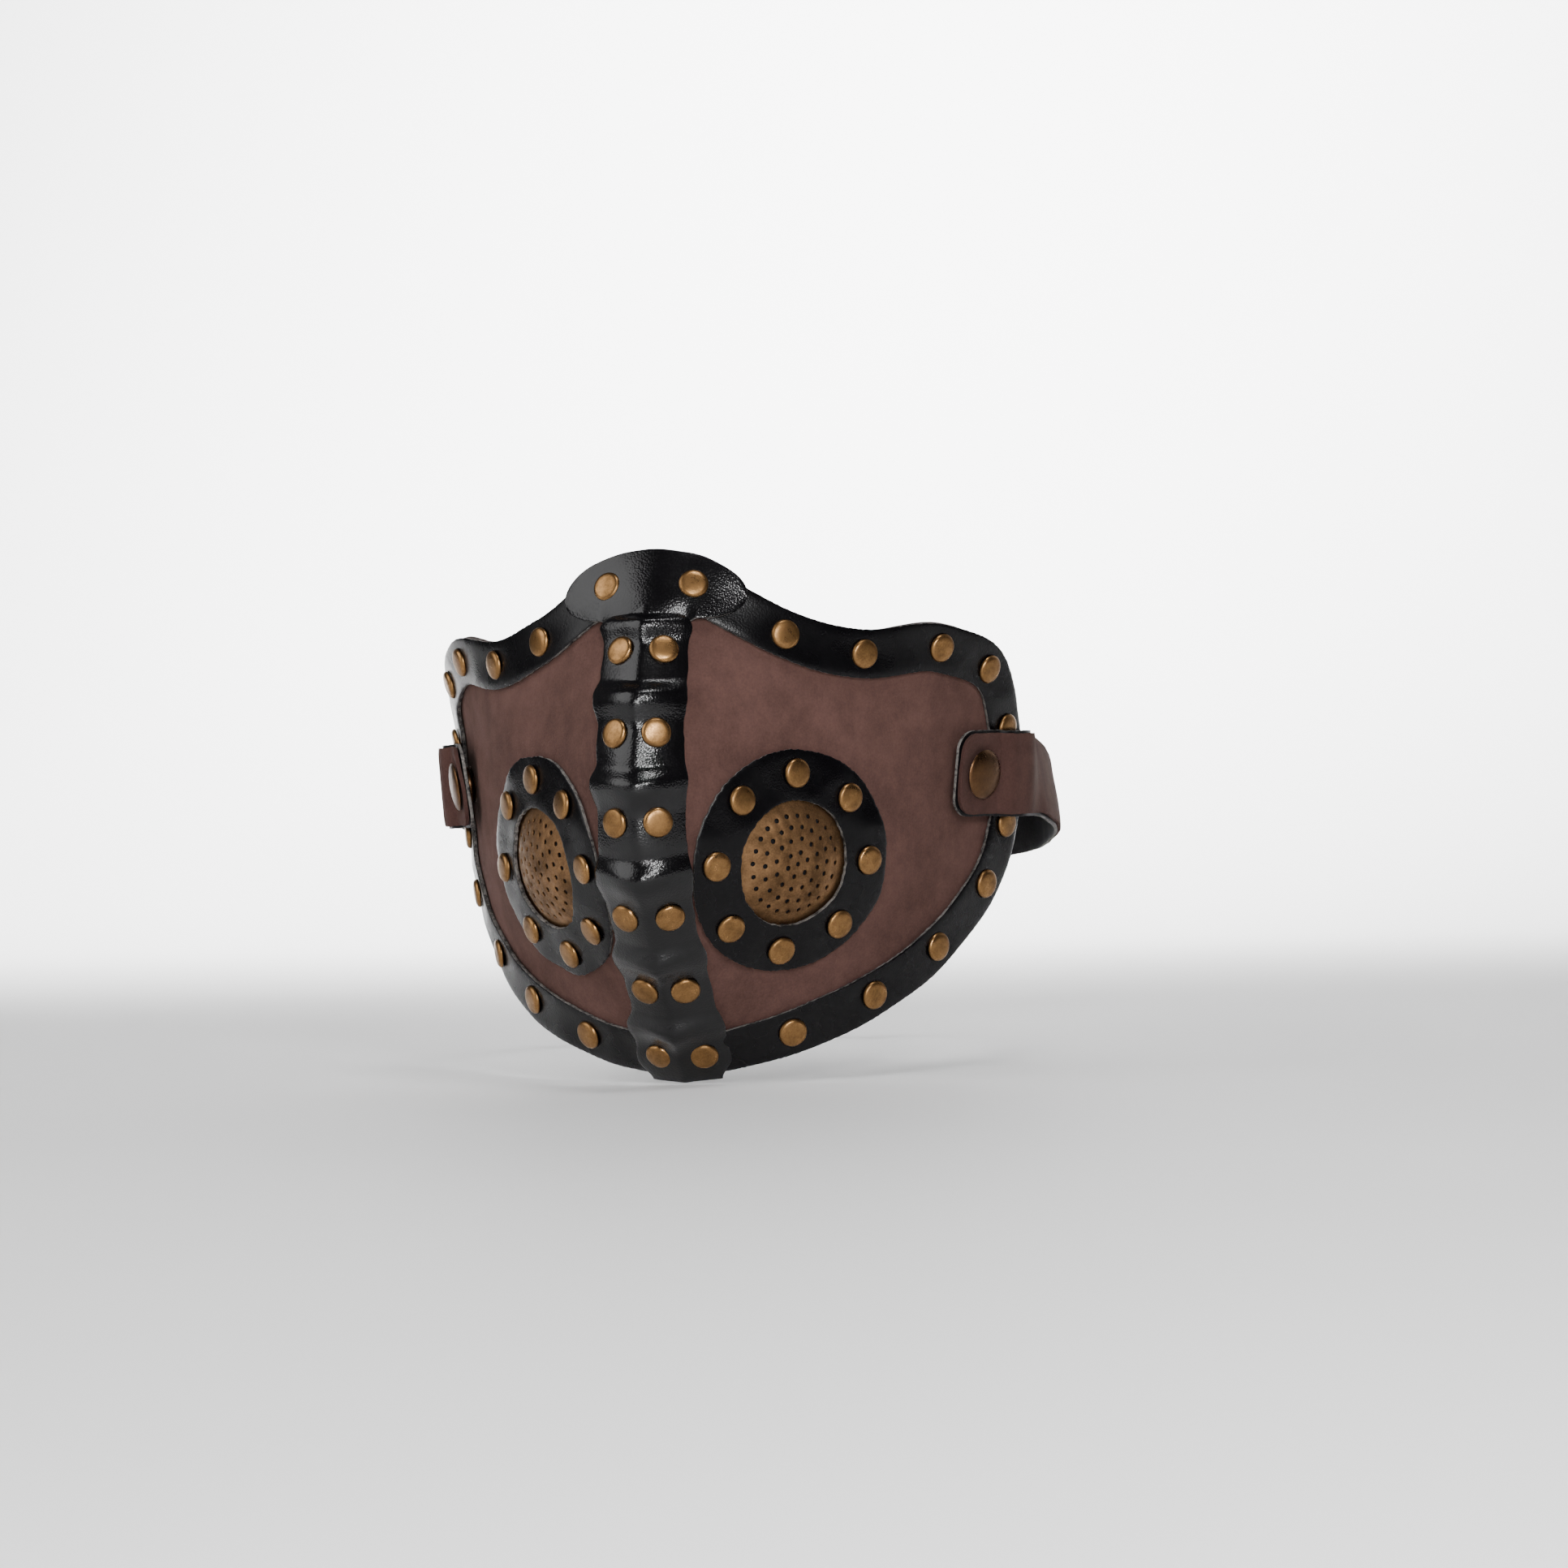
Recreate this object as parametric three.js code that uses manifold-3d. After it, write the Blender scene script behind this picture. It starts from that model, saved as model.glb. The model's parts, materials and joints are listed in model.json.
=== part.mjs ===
// Half-face costume mask: two cheek panels with edge trims, a pleated strip over the nose
// ridge, a nose tab, two round vents, and a two-part neck strap on snap fasteners.
// Units are millimetres. +Z is up, -Y is where the wearer looks, +X is the wearer's left.

import * as THREE from 'three';
import { mergeVertices } from 'three/addons/utils/BufferGeometryUtils.js';
import Module from 'manifold-3d';

const wasm = await Module();
wasm.setup();

// ---------------------------------------------------------------- driving dimensions

const maskWidth = 140;          // across the two rear edges, measured on the pattern
const maskHeight = 128;         // from the chin edge to the nose bridge
const noseRound = 7.5;          // softness of the ridge down the middle
const cheekFlare = 1.09;        // how fast each cheek runs back from the ridge
const rearWrap = 28;            // extra depth at the rear edges, where the panels wrap round
const cheekSwell = 3.4;         // how far each cheek swells out in its middle

const panelThickness = 1.4;
const trimThickness = 1.2;
const trimWidth = 12;
const stripWidth = 20.4;
const stripThickness = 1.2;
const stripBulge = 1.6;         // how far the strip stands off the ridge
const bulgeSpread = 3.6;        // half width of that bulge
const stripTaper = 2.4;         // how much narrower each half of the strip is under the tab
const tabLength = 45.5;
const tabHeight = 16;
const seamGap = 0.7;            // between the two cheek panels, under the centre strip
const layerGap = 0.3;           // between one layer and the next
const capGap = 0.5;             // under the rivets' caps
const tabLift = 0.8;            // under the nose tab, over the strip's crest
const backGap = 0.8;            // between the panels and the heads behind them

const patchRadius = 27;
const ventRadius = 14.6;        // opening of the patch, in front of the grille
const grilleRadius = 17;
const grilleThickness = 0.6;
const ventPitchRadius = 21.25;  // circle of the vent rivets
const ventRivetCount = 8;
const backingThickness = 0.8;
const backingMargin = 3;        // from the circle of the vent rivets to the ring's outer edge

const rivetRadius = 3.5;
const rivetCapHeight = 1.8;
const shankRadius = 0.9;
const rivetBackRadius = 2.4;
const rivetBackHeight = 0.6;
const holeClearance = 0.3;

const strapWidth = 20;
const strapThickness = 1.1;
const liningThickness = 0.8;
const liningRim = 0.6;          // how far the lining shows past the strap's edges
const snapCapRadius = 6.1;
const snapCapHeight = 1.5;
const socketRadius = 4.6;
const snapBallRadius = 1.9;
const snapBallHeight = 1.6;     // top of the stud's ball over the cheek panel
const snapFoot = 0.4;           // thickness of the stud's foot on the panel
const socketLip = 0.35;         // thickness of the socket's upper wall
const snapReach = 8.5;          // from the snap's axis to the strap's front end
const strapRest = 2.6;          // strap's underside above the cheek panel at the snap
const loopFlare = 5;            // how far the strap's loop stands out past the rear edges
const loopReach = 112.5;        // from the snaps back to the band behind the neck
const strapDrop = 15;           // how much lower the band lies behind the neck
const closureLength = 44;
const closureThickness = 1.0;
const closureGap = 2.2;         // between the hook patch and the loop patch
const closureOverlap = 26;      // how far each strap runs past the middle of the back

// ---------------------------------------------------------------- the face surface

const wide = maskWidth / 140;
const tall = maskHeight / 128;

// Rises from 0 to a straight slope of 1, bending softly over the given width.
function softRamp(distance, width) {
  return width * Math.log1p(Math.exp(distance / width));
}

// Depth of the nose ridge: it runs back above the nose tip and again below the lips.
function ridgeDepth(z) {
  return tall * (0.78 * softRamp(-25 - z / tall, 5) + 0.52 * softRamp(z / tall - 12, 6));
}

// Depth of the cheek panels' outer face at one place of the pattern.
function faceDepth(x, z) {
  const level = (z / tall + 15) / 50;
  const cheek = cheekFlare - 0.46 * level * level;
  const wrap = rearWrap - 6.5 * level - 2.7 * level * level;
  const spread = Math.hypot(x, noseRound) - noseRound;
  return ridgeDepth(z) + cheek * spread + wrap * (x / (70 * wide)) ** 4;
}

function faceNormal(x, z) {
  const step = 0.05;
  const acrossX = (faceDepth(x + step, z) - faceDepth(x - step, z)) / (2 * step);
  const acrossZ = (faceDepth(x, z + step) - faceDepth(x, z - step)) / (2 * step);
  return new THREE.Vector3(acrossX, -1, acrossZ).normalize();
}

// How far the cheek swells out over the face surface, at one place of the pattern.
function swell(x, z) {
  const across = (Math.abs(x) / wide - 42) / 34;
  const level = (z / tall + 16) / 40;
  return cheekSwell * Math.exp(-across * across - level * level);
}

// A point above the swollen face surface, outwards along its normal.
function onFace(x, z, height = 0) {
  const base = new THREE.Vector3(x, faceDepth(x, z), z);
  return base.addScaledVector(faceNormal(x, z), height + swell(x, z));
}

// Walks a distance over the surface. Angle 0 heads level, to the wearer's left, and a
// quarter turn heads up.
function walk([x, z], angle, distance, steps = 5) {
  const place = [x, z];
  for (let i = 0; i < steps; i += 1) {
    const normal = faceNormal(...place);
    const heading = new THREE.Vector3(0, 0, 1).cross(normal).normalize();
    const up = new THREE.Vector3().crossVectors(normal, heading);
    heading.multiplyScalar(Math.cos(angle)).addScaledVector(up, Math.sin(angle));
    place[0] += heading.x * (distance / steps);
    place[1] += heading.z * (distance / steps);
  }
  return place;
}

const snapPlace = [61.9 * wide, -2.2 * tall];
const loopHalfWidth = maskWidth / 2 + loopFlare;
const loopDepth = faceDepth(...snapPlace) + loopReach;

// ---------------------------------------------------------------- making and cutting solids

// Merges the shared corners, and turns the faces outwards.
function closed(geometry) {
  geometry.deleteAttribute('normal');
  geometry.deleteAttribute('uv');
  const merged = mergeVertices(geometry, 1e-4);
  const corners = merged.index.array;
  const at = (i) => new THREE.Vector3().fromBufferAttribute(merged.attributes.position, i);
  const kept = [];
  let volume = 0;
  for (let i = 0; i < corners.length; i += 3) {
    const [a, b, c] = [corners[i], corners[i + 1], corners[i + 2]];
    if (a === b || b === c || a === c) continue;
    kept.push(a, b, c);
    volume += at(a).dot(at(b).cross(at(c)));
  }
  if (volume < 0) kept.reverse();
  merged.setIndex(kept);
  return merged;
}

function toSolid(geometry) {
  const merged = closed(geometry);
  return new wasm.Manifold(new wasm.Mesh({
    numProp: 3,
    vertProperties: merged.attributes.position.array,
    triVerts: new Uint32Array(merged.index.array),
  }));
}

function toGeometry(solid) {
  const mesh = solid.getMesh();
  const geometry = new THREE.BufferGeometry();
  geometry.setAttribute('position', new THREE.BufferAttribute(mesh.vertProperties, 3));
  geometry.setIndex(new THREE.BufferAttribute(mesh.triVerts, 1));
  return geometry;
}

function cut(geometry, tools) {
  let solid = toSolid(geometry);
  for (const tool of tools) solid = solid.subtract(toSolid(tool));
  return toGeometry(solid);
}

function join(geometry, others) {
  let solid = toSolid(geometry);
  for (const other of others) solid = solid.add(toSolid(other));
  return toGeometry(solid);
}

// Moves every vertex to the place that the function gives for it.
function bend(geometry, placeOf) {
  const positions = geometry.attributes.position;
  for (let i = 0; i < positions.count; i += 1) {
    const place = placeOf(positions.getX(i), positions.getY(i), positions.getZ(i));
    positions.setXYZ(i, place.x, place.y, place.z);
  }
  return geometry;
}

// A sheet between two heights: the function gives the place of (across, along, height),
// where across and along run from 0 to 1.
function sheet(columns, rows, low, high, placeOf) {
  const block = new THREE.BoxGeometry(1, 1, 1, columns, rows, 1);
  return bend(block, (x, y, z) => placeOf(x + 0.5, y + 0.5, z < 0 ? low : high));
}

// A round sheet on the face surface, as a ring or, with an inner radius of 0, a disc.
function roundSheet(centre, innerRadius, outerRadius, low, high, bands, segments) {
  const profile = [];
  const radiusAt = (i) => innerRadius + ((outerRadius - innerRadius) * i) / bands;
  for (let i = 0; i <= bands; i += 1) profile.push(new THREE.Vector2(radiusAt(i), low));
  for (let i = bands; i >= 0; i -= 1) profile.push(new THREE.Vector2(radiusAt(i), high));
  if (innerRadius > 0) profile.push(profile[0].clone());
  const ring = new THREE.LatheGeometry(profile, segments);
  return bend(ring, (x, y, z) => onFace(...walk(centre, Math.atan2(z, x), Math.hypot(x, z)), y));
}

// A turned piece, from a profile of [radius, height] that runs upwards.
function turned(profile, segments) {
  return new THREE.LatheGeometry(profile.map(([r, h]) => new THREE.Vector2(r, h)), segments);
}

// The matrix that stands a turned piece on the face surface.
function standing(place, height = 0) {
  const upright = new THREE.Quaternion();
  upright.setFromUnitVectors(new THREE.Vector3(0, 1, 0), faceNormal(...place));
  return new THREE.Matrix4().compose(onFace(...place, height), upright, new THREE.Vector3(1, 1, 1));
}

function mirrored(geometry) {
  return closed(geometry.clone().applyMatrix4(new THREE.Matrix4().makeScale(-1, 1, 1)));
}

// A straight punch through all the layers at one place.
function punch(place, inscribed, segments = 4) {
  const depth = 8;
  const radius = inscribed / Math.cos(Math.PI / segments);
  const profile = [[0, -depth], [radius, -depth], [radius, depth], [0, depth]];
  return turned(profile, segments).applyMatrix4(standing(place));
}

// ---------------------------------------------------------------- materials

const suede = new THREE.MeshStandardMaterial({ color: 0x5f4a42, roughness: 0.95 });
const leatherette = new THREE.MeshStandardMaterial({ color: 0x1c1b1f, roughness: 0.35 });
const antiqueBrass = new THREE.MeshStandardMaterial({
  color: 0xa87c4a,
  roughness: 0.38,
  metalness: 0.9,
});
const darkBrass = new THREE.MeshStandardMaterial({ color: 0x5a4128, roughness: 0.4, metalness: 0.9 });
const tape = new THREE.MeshStandardMaterial({ color: 0x1a1a1c, roughness: 0.95 });

// ---------------------------------------------------------------- layout on the pattern

const layerStep = layerGap + trimThickness;
const stretch = ([x, z]) => [x * wide, z * tall];

// The trim's rivets, from the nose round the rear corner to the chin.
const trimRivets = [
  [29.3, 31.6], [44.7, 27], [59.6, 28.5], [67.6, 23.2], [68.8, 8.6],
  [66.6, -15.2], [62.5, -29.8], [53.4, -44.6], [41.3, -55.5], [24.6, -63.4],
].map(stretch);
const trimStart = [[-4, 48], [11, 42.8]].map(stretch);
const trimEnd = [[9, -67.6], [-4, -69]].map(stretch);

// The strip's rivets stand in pairs, one on each side of the ridge. Each pair has its
// height, and half of the space between its two caps.
const stripPairs = [[28, 1.2], [8.8, 0.6], [-11.8, 0.6], [-33.3, 1.1], [-51.3, 0.9], [-67.9, 1.6]];
const stripRivets = stripPairs.map(([z, space]) => walk([0, z * tall], 0, rivetRadius + space));
const tabRivet = stretch([9.8, 43.3]);
const ventCentre = stretch([28.7, -22.3]);
const stripTop = 48 * tall;
const stripBottom = -73.5 * tall;
const stripNarrowing = 36 * tall;   // above this height the strip narrows, under the nose tab
const tabMiddle = 43.6 * tall;

const trimPath = new THREE.CatmullRomCurve3(
  [...trimStart, ...trimRivets, ...trimEnd].map(([x, z]) => new THREE.Vector3(x, z, 0)),
);

// A place on the trim: along runs from 0 at the nose to 1 at the chin, and offset is the
// distance outwards from the rivet line.
function onTrim(along, offset) {
  const middle = trimPath.getPoint(along);
  const ahead = trimPath.getTangent(along);
  const place = [middle.x, middle.y];
  const step = 0.2;
  const from = onFace(...place);
  const forward = onFace(middle.x + ahead.x * step, middle.y + ahead.y * step).sub(from);
  const normal = faceNormal(...place);
  const level = new THREE.Vector3(0, 0, 1).cross(normal).normalize();
  const up = new THREE.Vector3().crossVectors(normal, level);
  const outwards = forward.cross(normal).negate();
  return walk(place, Math.atan2(outwards.dot(up), outwards.dot(level)), offset);
}

const ventRivets = Array.from({ length: ventRivetCount }, (_, i) => (
  walk(ventCentre, (2 * Math.PI * i) / ventRivetCount, ventPitchRadius)
));

const holeRadius = shankRadius + holeClearance;
const punches = (places) => places.map((place) => punch(place, holeRadius));

// ---------------------------------------------------------------- the mask's sheets

const panelColumns = 10;
const panelRows = 24;

// One cheek panel: a fan between the seam line on the ridge and the trim's outer edge.
function cheekPanel() {
  const edgeInset = 0.4;
  const flat = sheet(panelColumns, panelRows, -panelThickness, 0, (across, along, height) => {
    const edge = onTrim(1 - along, trimWidth / 2 - edgeInset);
    const seamZ = THREE.MathUtils.lerp(stripBottom, stripTop, along);
    const reach = across ** 1.4;
    return onFace(edge[0] * reach, THREE.MathUtils.lerp(seamZ, edge[1], reach), height);
  });
  const seamSide = new THREE.BoxGeometry(4 * trimWidth, 4 * maskWidth, 4 * maskHeight);
  seamSide.translate(seamGap / 2 - 2 * trimWidth, 0, 0);
  const grilleSeat = roundSheet(ventCentre, 0, grilleRadius + holeClearance, -5, 5, 3, 18);
  const holes = punches([...trimRivets, ...stripRivets, tabRivet, ...ventRivets, snapPlace]);
  return cut(flat, [seamSide, grilleSeat, ...holes]);
}

// The edge trim, cut back beside the centre strip at the top and at the bottom.
function edgeTrim() {
  const rows = 34;
  const band = sheet(2, rows, layerGap, layerStep, (across, along, height) => (
    onFace(...onTrim(along, (across - 0.5) * trimWidth), height)
  ));
  const stop = (beside, middle) => {
    const edge = onFace(stripReach(beside), beside, layerStep).x + layerGap;
    const block = new THREE.BoxGeometry(maskWidth, 4 * maskWidth, maskHeight);
    return block.translate(edge - maskWidth / 2, 0, middle);
  };
  const top = stop(stripNarrowing + 1, maskHeight / 2);
  const bottom = stop(stripBottom + trimWidth, -maskHeight / 2);
  return cut(band, [top, bottom, ...punches([...trimRivets, tabRivet])]);
}

// Half of the strip's width over the surface at one height.
function stripHalfWidth(z) {
  const narrow = THREE.MathUtils.smoothstep(z, stripNarrowing - 1.5, stripNarrowing + 0.5);
  return stripWidth / 2 - stripTaper * narrow;
}

// How far the strip's edge reaches to the side, on the pattern.
function stripReach(z) {
  return walk([0, z], 0, stripHalfWidth(z))[0];
}

function centreStrip() {
  const flatter = 0.2;              // share of the bulge that is left under the nose tab
  const strip = sheet(6, 22, layerGap, layerGap + stripThickness, (across, along, height) => {
    const z = THREE.MathUtils.lerp(stripBottom, stripTop, along);
    const side = 2 * (across - 0.5) * stripHalfWidth(z);
    const crest = Math.max(0, 1 - Math.abs(side) / bulgeSpread) * stripBulge;
    return onFace(...walk([0, z], 0, side), height + crest * (z < stripNarrowing ? 1 : flatter));
  });
  const oneSide = [...stripRivets, tabRivet];
  return cut(strip, punches([...oneSide, ...oneSide.map(([x, z]) => [-x, z])]));
}

// The nose tab: a short band with round ends, laid over the strip and both trims.
function noseTab() {
  const low = layerStep + tabLift;
  const crown = 3.4;                // the tab's ends lie lower than its middle
  const tab = sheet(18, 4, low, low + trimThickness, (across, along, height) => {
    const side = Math.sin((across - 0.5) * Math.PI);
    const roundEnd = Math.sqrt(Math.max(0, 1 - Math.abs(side) ** 5)) * 0.94 + 0.06;
    const rise = (along - 0.5) * tabHeight * roundEnd;
    const middle = tabMiddle - crown * side * side * tall;
    return onFace(...walk([0, middle + rise], 0, (side * tabLength) / 2), height);
  });
  return cut(tab, punches([tabRivet, [-tabRivet[0], tabRivet[1]]]));
}

function ventPatch() {
  const ring = roundSheet(ventCentre, ventRadius, patchRadius, layerGap, layerStep, 2, 24);
  return cut(ring, punches(ventRivets));
}

// The grille: a thin disc in the panel's hole, held between the patch and the backing ring.
function ventGrille() {
  return closed(roundSheet(ventCentre, 0, grilleRadius, -grilleThickness, 0, 3, 18));
}

// ---------------------------------------------------------------- rivets and snaps

// The outline of a rivet's cap, from its rim to the top. Height 0 is the cap's underside.
const capOutline = [
  [rivetRadius, 0],
  [0.72 * rivetRadius, 0.8 * rivetCapHeight],
  [0, rivetCapHeight],
];

// A domed rivet, from its back head to the top of its cap.
function rivet(grip) {
  return turned([
    [0, -grip - rivetBackHeight],
    [rivetBackRadius, -grip - rivetBackHeight],
    [rivetBackRadius, -grip],
    [shankRadius, -grip],
    [shankRadius, 0],
    ...capOutline,
  ], 8);
}

const onTrimSeat = layerStep + capGap;
const onTabSeat = layerStep + tabLift + trimThickness + capGap;
const gripUnder = (seat) => seat + panelThickness + backGap;

function rivetMesh(name, place, seat, side) {
  const mesh = new THREE.Mesh(rivet(gripUnder(seat)), antiqueBrass);
  mesh.name = name;
  mesh.applyMatrix4(standing([side * place[0], place[1]], seat));
  return mesh;
}

// The backing ring behind each vent: it holds the grille, and carries the eight rivets.
function ventBacking() {
  const high = -panelThickness - backGap;
  const low = high - backingThickness;
  const [inner, outer] = [ventRadius + 2 * layerGap, ventPitchRadius + backingMargin];
  const ring = roundSheet(ventCentre, inner, outer, low, high, 1, 20);
  const foot = backingThickness / 2;
  const body = turned([
    [0, high - foot - onTrimSeat],
    [shankRadius, high - foot - onTrimSeat],
    [shankRadius, 0],
    ...capOutline,
  ], 8);
  return join(ring, ventRivets.map((place) => (
    body.clone().applyMatrix4(standing(place, onTrimSeat))
  )));
}

const strapStack = strapRest + liningThickness + layerGap + strapThickness;
const snapShankRadius = 1.2;

function snapCap() {
  const seat = strapStack + 2 * layerGap;
  return turned([
    [0, strapRest - 0.5],
    [snapShankRadius, strapRest - 0.5],
    [snapShankRadius, seat],
    [snapCapRadius, seat],
    [snapCapRadius, seat + 0.35 * snapCapHeight],
    [0.72 * snapCapRadius, seat + 0.9 * snapCapHeight],
    [0, seat + snapCapHeight],
  ], 12);
}

// The socket under the strap: the stud's head sits in it.
function snapSocket() {
  const low = 1.0;
  const high = strapRest - layerGap;
  const bore = snapBallRadius + holeClearance;
  const collar = snapShankRadius + holeClearance;
  return turned([
    [bore, low],
    [socketRadius, low],
    [socketRadius, high],
    [collar, high],
    [collar, high - socketLip],
    [bore, high - socketLip],
    [bore, low],
  ], 10);
}

function snapStud() {
  const back = -panelThickness - backGap;
  return turned([
    [0, back - rivetBackHeight],
    [rivetBackRadius + 0.6, back - rivetBackHeight],
    [rivetBackRadius + 0.6, back],
    [shankRadius, back],
    [shankRadius, layerGap],
    [socketRadius, layerGap],
    [socketRadius, layerGap + snapFoot],
    [0.8 * snapBallRadius, layerGap + snapFoot],
    [snapBallRadius, 0.75 * snapBallHeight],
    [0.7 * snapBallRadius, snapBallHeight],
    [0, snapBallHeight],
  ], 12);
}

// ---------------------------------------------------------------- strap and closure

// The strap's underside above the panel, where it passes over the rear rivets.
const liftOverRivets = onTrimSeat + rivetCapHeight + 1.5;
const stackAtBack = 2 * liningThickness + strapThickness + 4 * layerGap
  + 2 * closureThickness + closureGap;

// The strap's underside: along the cheek, over the rear rivets, and round behind the neck.
function strapPath(backDepth) {
  const [rivetAbove, rivetBelow] = [trimRivets[4], trimRivets[5]].map((place) => onFace(...place));
  const rear = rivetAbove.lerp(rivetBelow, 0.5).distanceTo(onFace(...snapPlace));
  const front = [
    [-snapReach, 0], [-4, 0], [0, 0], [snapCapRadius - 1.5, 0], [snapCapRadius + 0.8, 0.16],
    [rear - 4.7, 0.9], [rear - 1.7, 1], [rear + 2.3, 1],
  ];
  const points = front.map(([distance, lift]) => {
    const height = THREE.MathUtils.lerp(strapRest, liftOverRivets, lift);
    return onFace(...walk(snapPlace, 0, distance), height);
  });
  const middle = snapPlace[1];
  const turn = (across, depth, drop) => (
    points.push(new THREE.Vector3(across * loopHalfWidth, depth, middle - drop * strapDrop))
  );
  const rearEdge = points[front.length - 1].y;
  const back = backDepth - rearEdge;
  turn(0.985, rearEdge + 0.12 * back, 0.1);
  turn(1, rearEdge + 0.3 * back, 0.3);
  turn(0.91, rearEdge + 0.56 * back, 0.55);
  turn(0.77, rearEdge + 0.81 * back, 0.78);
  turn(0.57, rearEdge + 0.955 * back, 0.94);
  turn((closureLength / 2 + 9) / loopHalfWidth, backDepth, 1);
  turn((closureLength / 2 + 3) / loopHalfWidth, backDepth, 1);
  turn(0, backDepth, 1);
  turn(-closureOverlap / loopHalfWidth, backDepth, 1);
  return new THREE.CatmullRomCurve3(points, false, 'centripetal');
}

// A band along the strap's path, between two heights above its underside.
function strapBand(backDepth, low, high, rim) {
  const path = strapPath(backDepth);
  path.arcLengthDivisions = 800;
  const length = path.getLength();
  const start = faceNormal(...snapPlace);
  const corner = 5;                 // radius of the band's corners, and where its end is cut flat
  const flatEnd = 4.6;
  const halfWidth = (distance) => {
    const inside = Math.min(flatEnd, Math.max(0, corner - Math.min(distance, length - distance)));
    return strapWidth / 2 - corner + Math.sqrt(corner ** 2 - inside ** 2) + rim;
  };
  // The rows lie closer together at the front, where the band bends most.
  return sheet(1, 34, low, high, (across, along, height) => {
    const distance = length * (0.35 * along ** 2.4 + 0.65 * along ** 1.3);
    const share = Math.min(1, distance / length);
    const forward = path.getTangentAt(share);
    const lean = Math.max(0, 1 - distance / (5 * snapReach));
    const upright = new THREE.Vector3(0, 0, 1);
    const cheekUp = new THREE.Vector3(-start.x * start.z, -start.y * start.z, 1 - start.z ** 2);
    upright.lerp(cheekUp.normalize(), lean);
    upright.addScaledVector(forward, -upright.dot(forward)).normalize();
    const outwards = new THREE.Vector3().crossVectors(forward, upright);
    return path.getPointAt(share)
      .addScaledVector(upright, 2 * (across - 0.5) * halfWidth(distance))
      .addScaledVector(outwards, height);
  });
}

function strapHole() {
  return punch(snapPlace, snapShankRadius + holeClearance, 8);
}

function strap(backDepth) {
  const low = liningThickness + layerGap;
  return cut(strapBand(backDepth, low, low + strapThickness, 0), [strapHole()]);
}

function strapLining(backDepth) {
  return cut(strapBand(backDepth, 0, liningThickness, liningRim), [strapHole()]);
}

function closurePatch(depth) {
  const patch = new THREE.BoxGeometry(closureLength, closureThickness, strapWidth - 3);
  return patch.translate(0, depth + closureThickness / 2, snapPlace[1] - strapDrop);
}

// ---------------------------------------------------------------- assembly

const mask = new THREE.Group();
const leftStrapDepth = loopDepth + stackAtBack;
const loopPatchDepth = loopDepth + liningThickness + strapThickness + 2 * layerGap;
const hookPatchDepth = leftStrapDepth - layerGap - closureThickness;

function addPair(name, geometry, material) {
  const left = new THREE.Mesh(geometry, material);
  left.name = `left_${name}`;
  const right = new THREE.Mesh(mirrored(geometry), material.clone());
  right.name = `right_${name}`;
  mask.add(left, right);
}

function addOne(name, geometry, material) {
  const mesh = new THREE.Mesh(geometry, material);
  mesh.name = name;
  mask.add(mesh);
}

addPair('cheek_panel', cheekPanel(), suede);
addPair('edge_trim', edgeTrim(), leatherette);
addOne('centre_strip', centreStrip(), leatherette);
addOne('nose_tab', noseTab(), leatherette);
addPair('vent_patch', ventPatch(), leatherette);
addPair('vent_grille', ventGrille(), antiqueBrass);
addPair('vent_backing', ventBacking(), antiqueBrass);

for (const [side, name] of [[1, 'left'], [-1, 'right']]) {
  trimRivets.forEach((place, i) => {
    mask.add(rivetMesh(`${name}_trim_rivet_${i + 1}`, place, onTrimSeat, side));
  });
  stripRivets.forEach((place, i) => {
    mask.add(rivetMesh(`${name}_strip_rivet_${i + 1}`, place, onTrimSeat, side));
  });
  mask.add(rivetMesh(`${name}_nose_rivet`, tabRivet, onTabSeat, side));
}

for (const [name, make] of [['cap', snapCap], ['socket', snapSocket], ['stud', snapStud]]) {
  addPair(`snap_${name}`, make().applyMatrix4(standing(snapPlace)), darkBrass);
}

addOne('left_strap', strap(leftStrapDepth), suede);
addOne('right_strap', mirrored(strap(loopDepth)), suede);
addOne('left_strap_lining', strapLining(leftStrapDepth), leatherette);
addOne('right_strap_lining', mirrored(strapLining(loopDepth)), leatherette);
addOne('loop_patch', closurePatch(loopPatchDepth), tape);
addOne('hook_patch', closurePatch(hookPatchDepth), tape);

// The origin is the middle of the wearer's head, level with the two snaps.
mask.position.set(0, -faceDepth(...snapPlace), -snapPlace[1]);

export default mask;
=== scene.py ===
import json
import math

import bpy
import numpy as np
from bpy.props import FloatProperty, FloatVectorProperty, IntProperty, PointerProperty
from mathutils import Matrix, Vector


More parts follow.
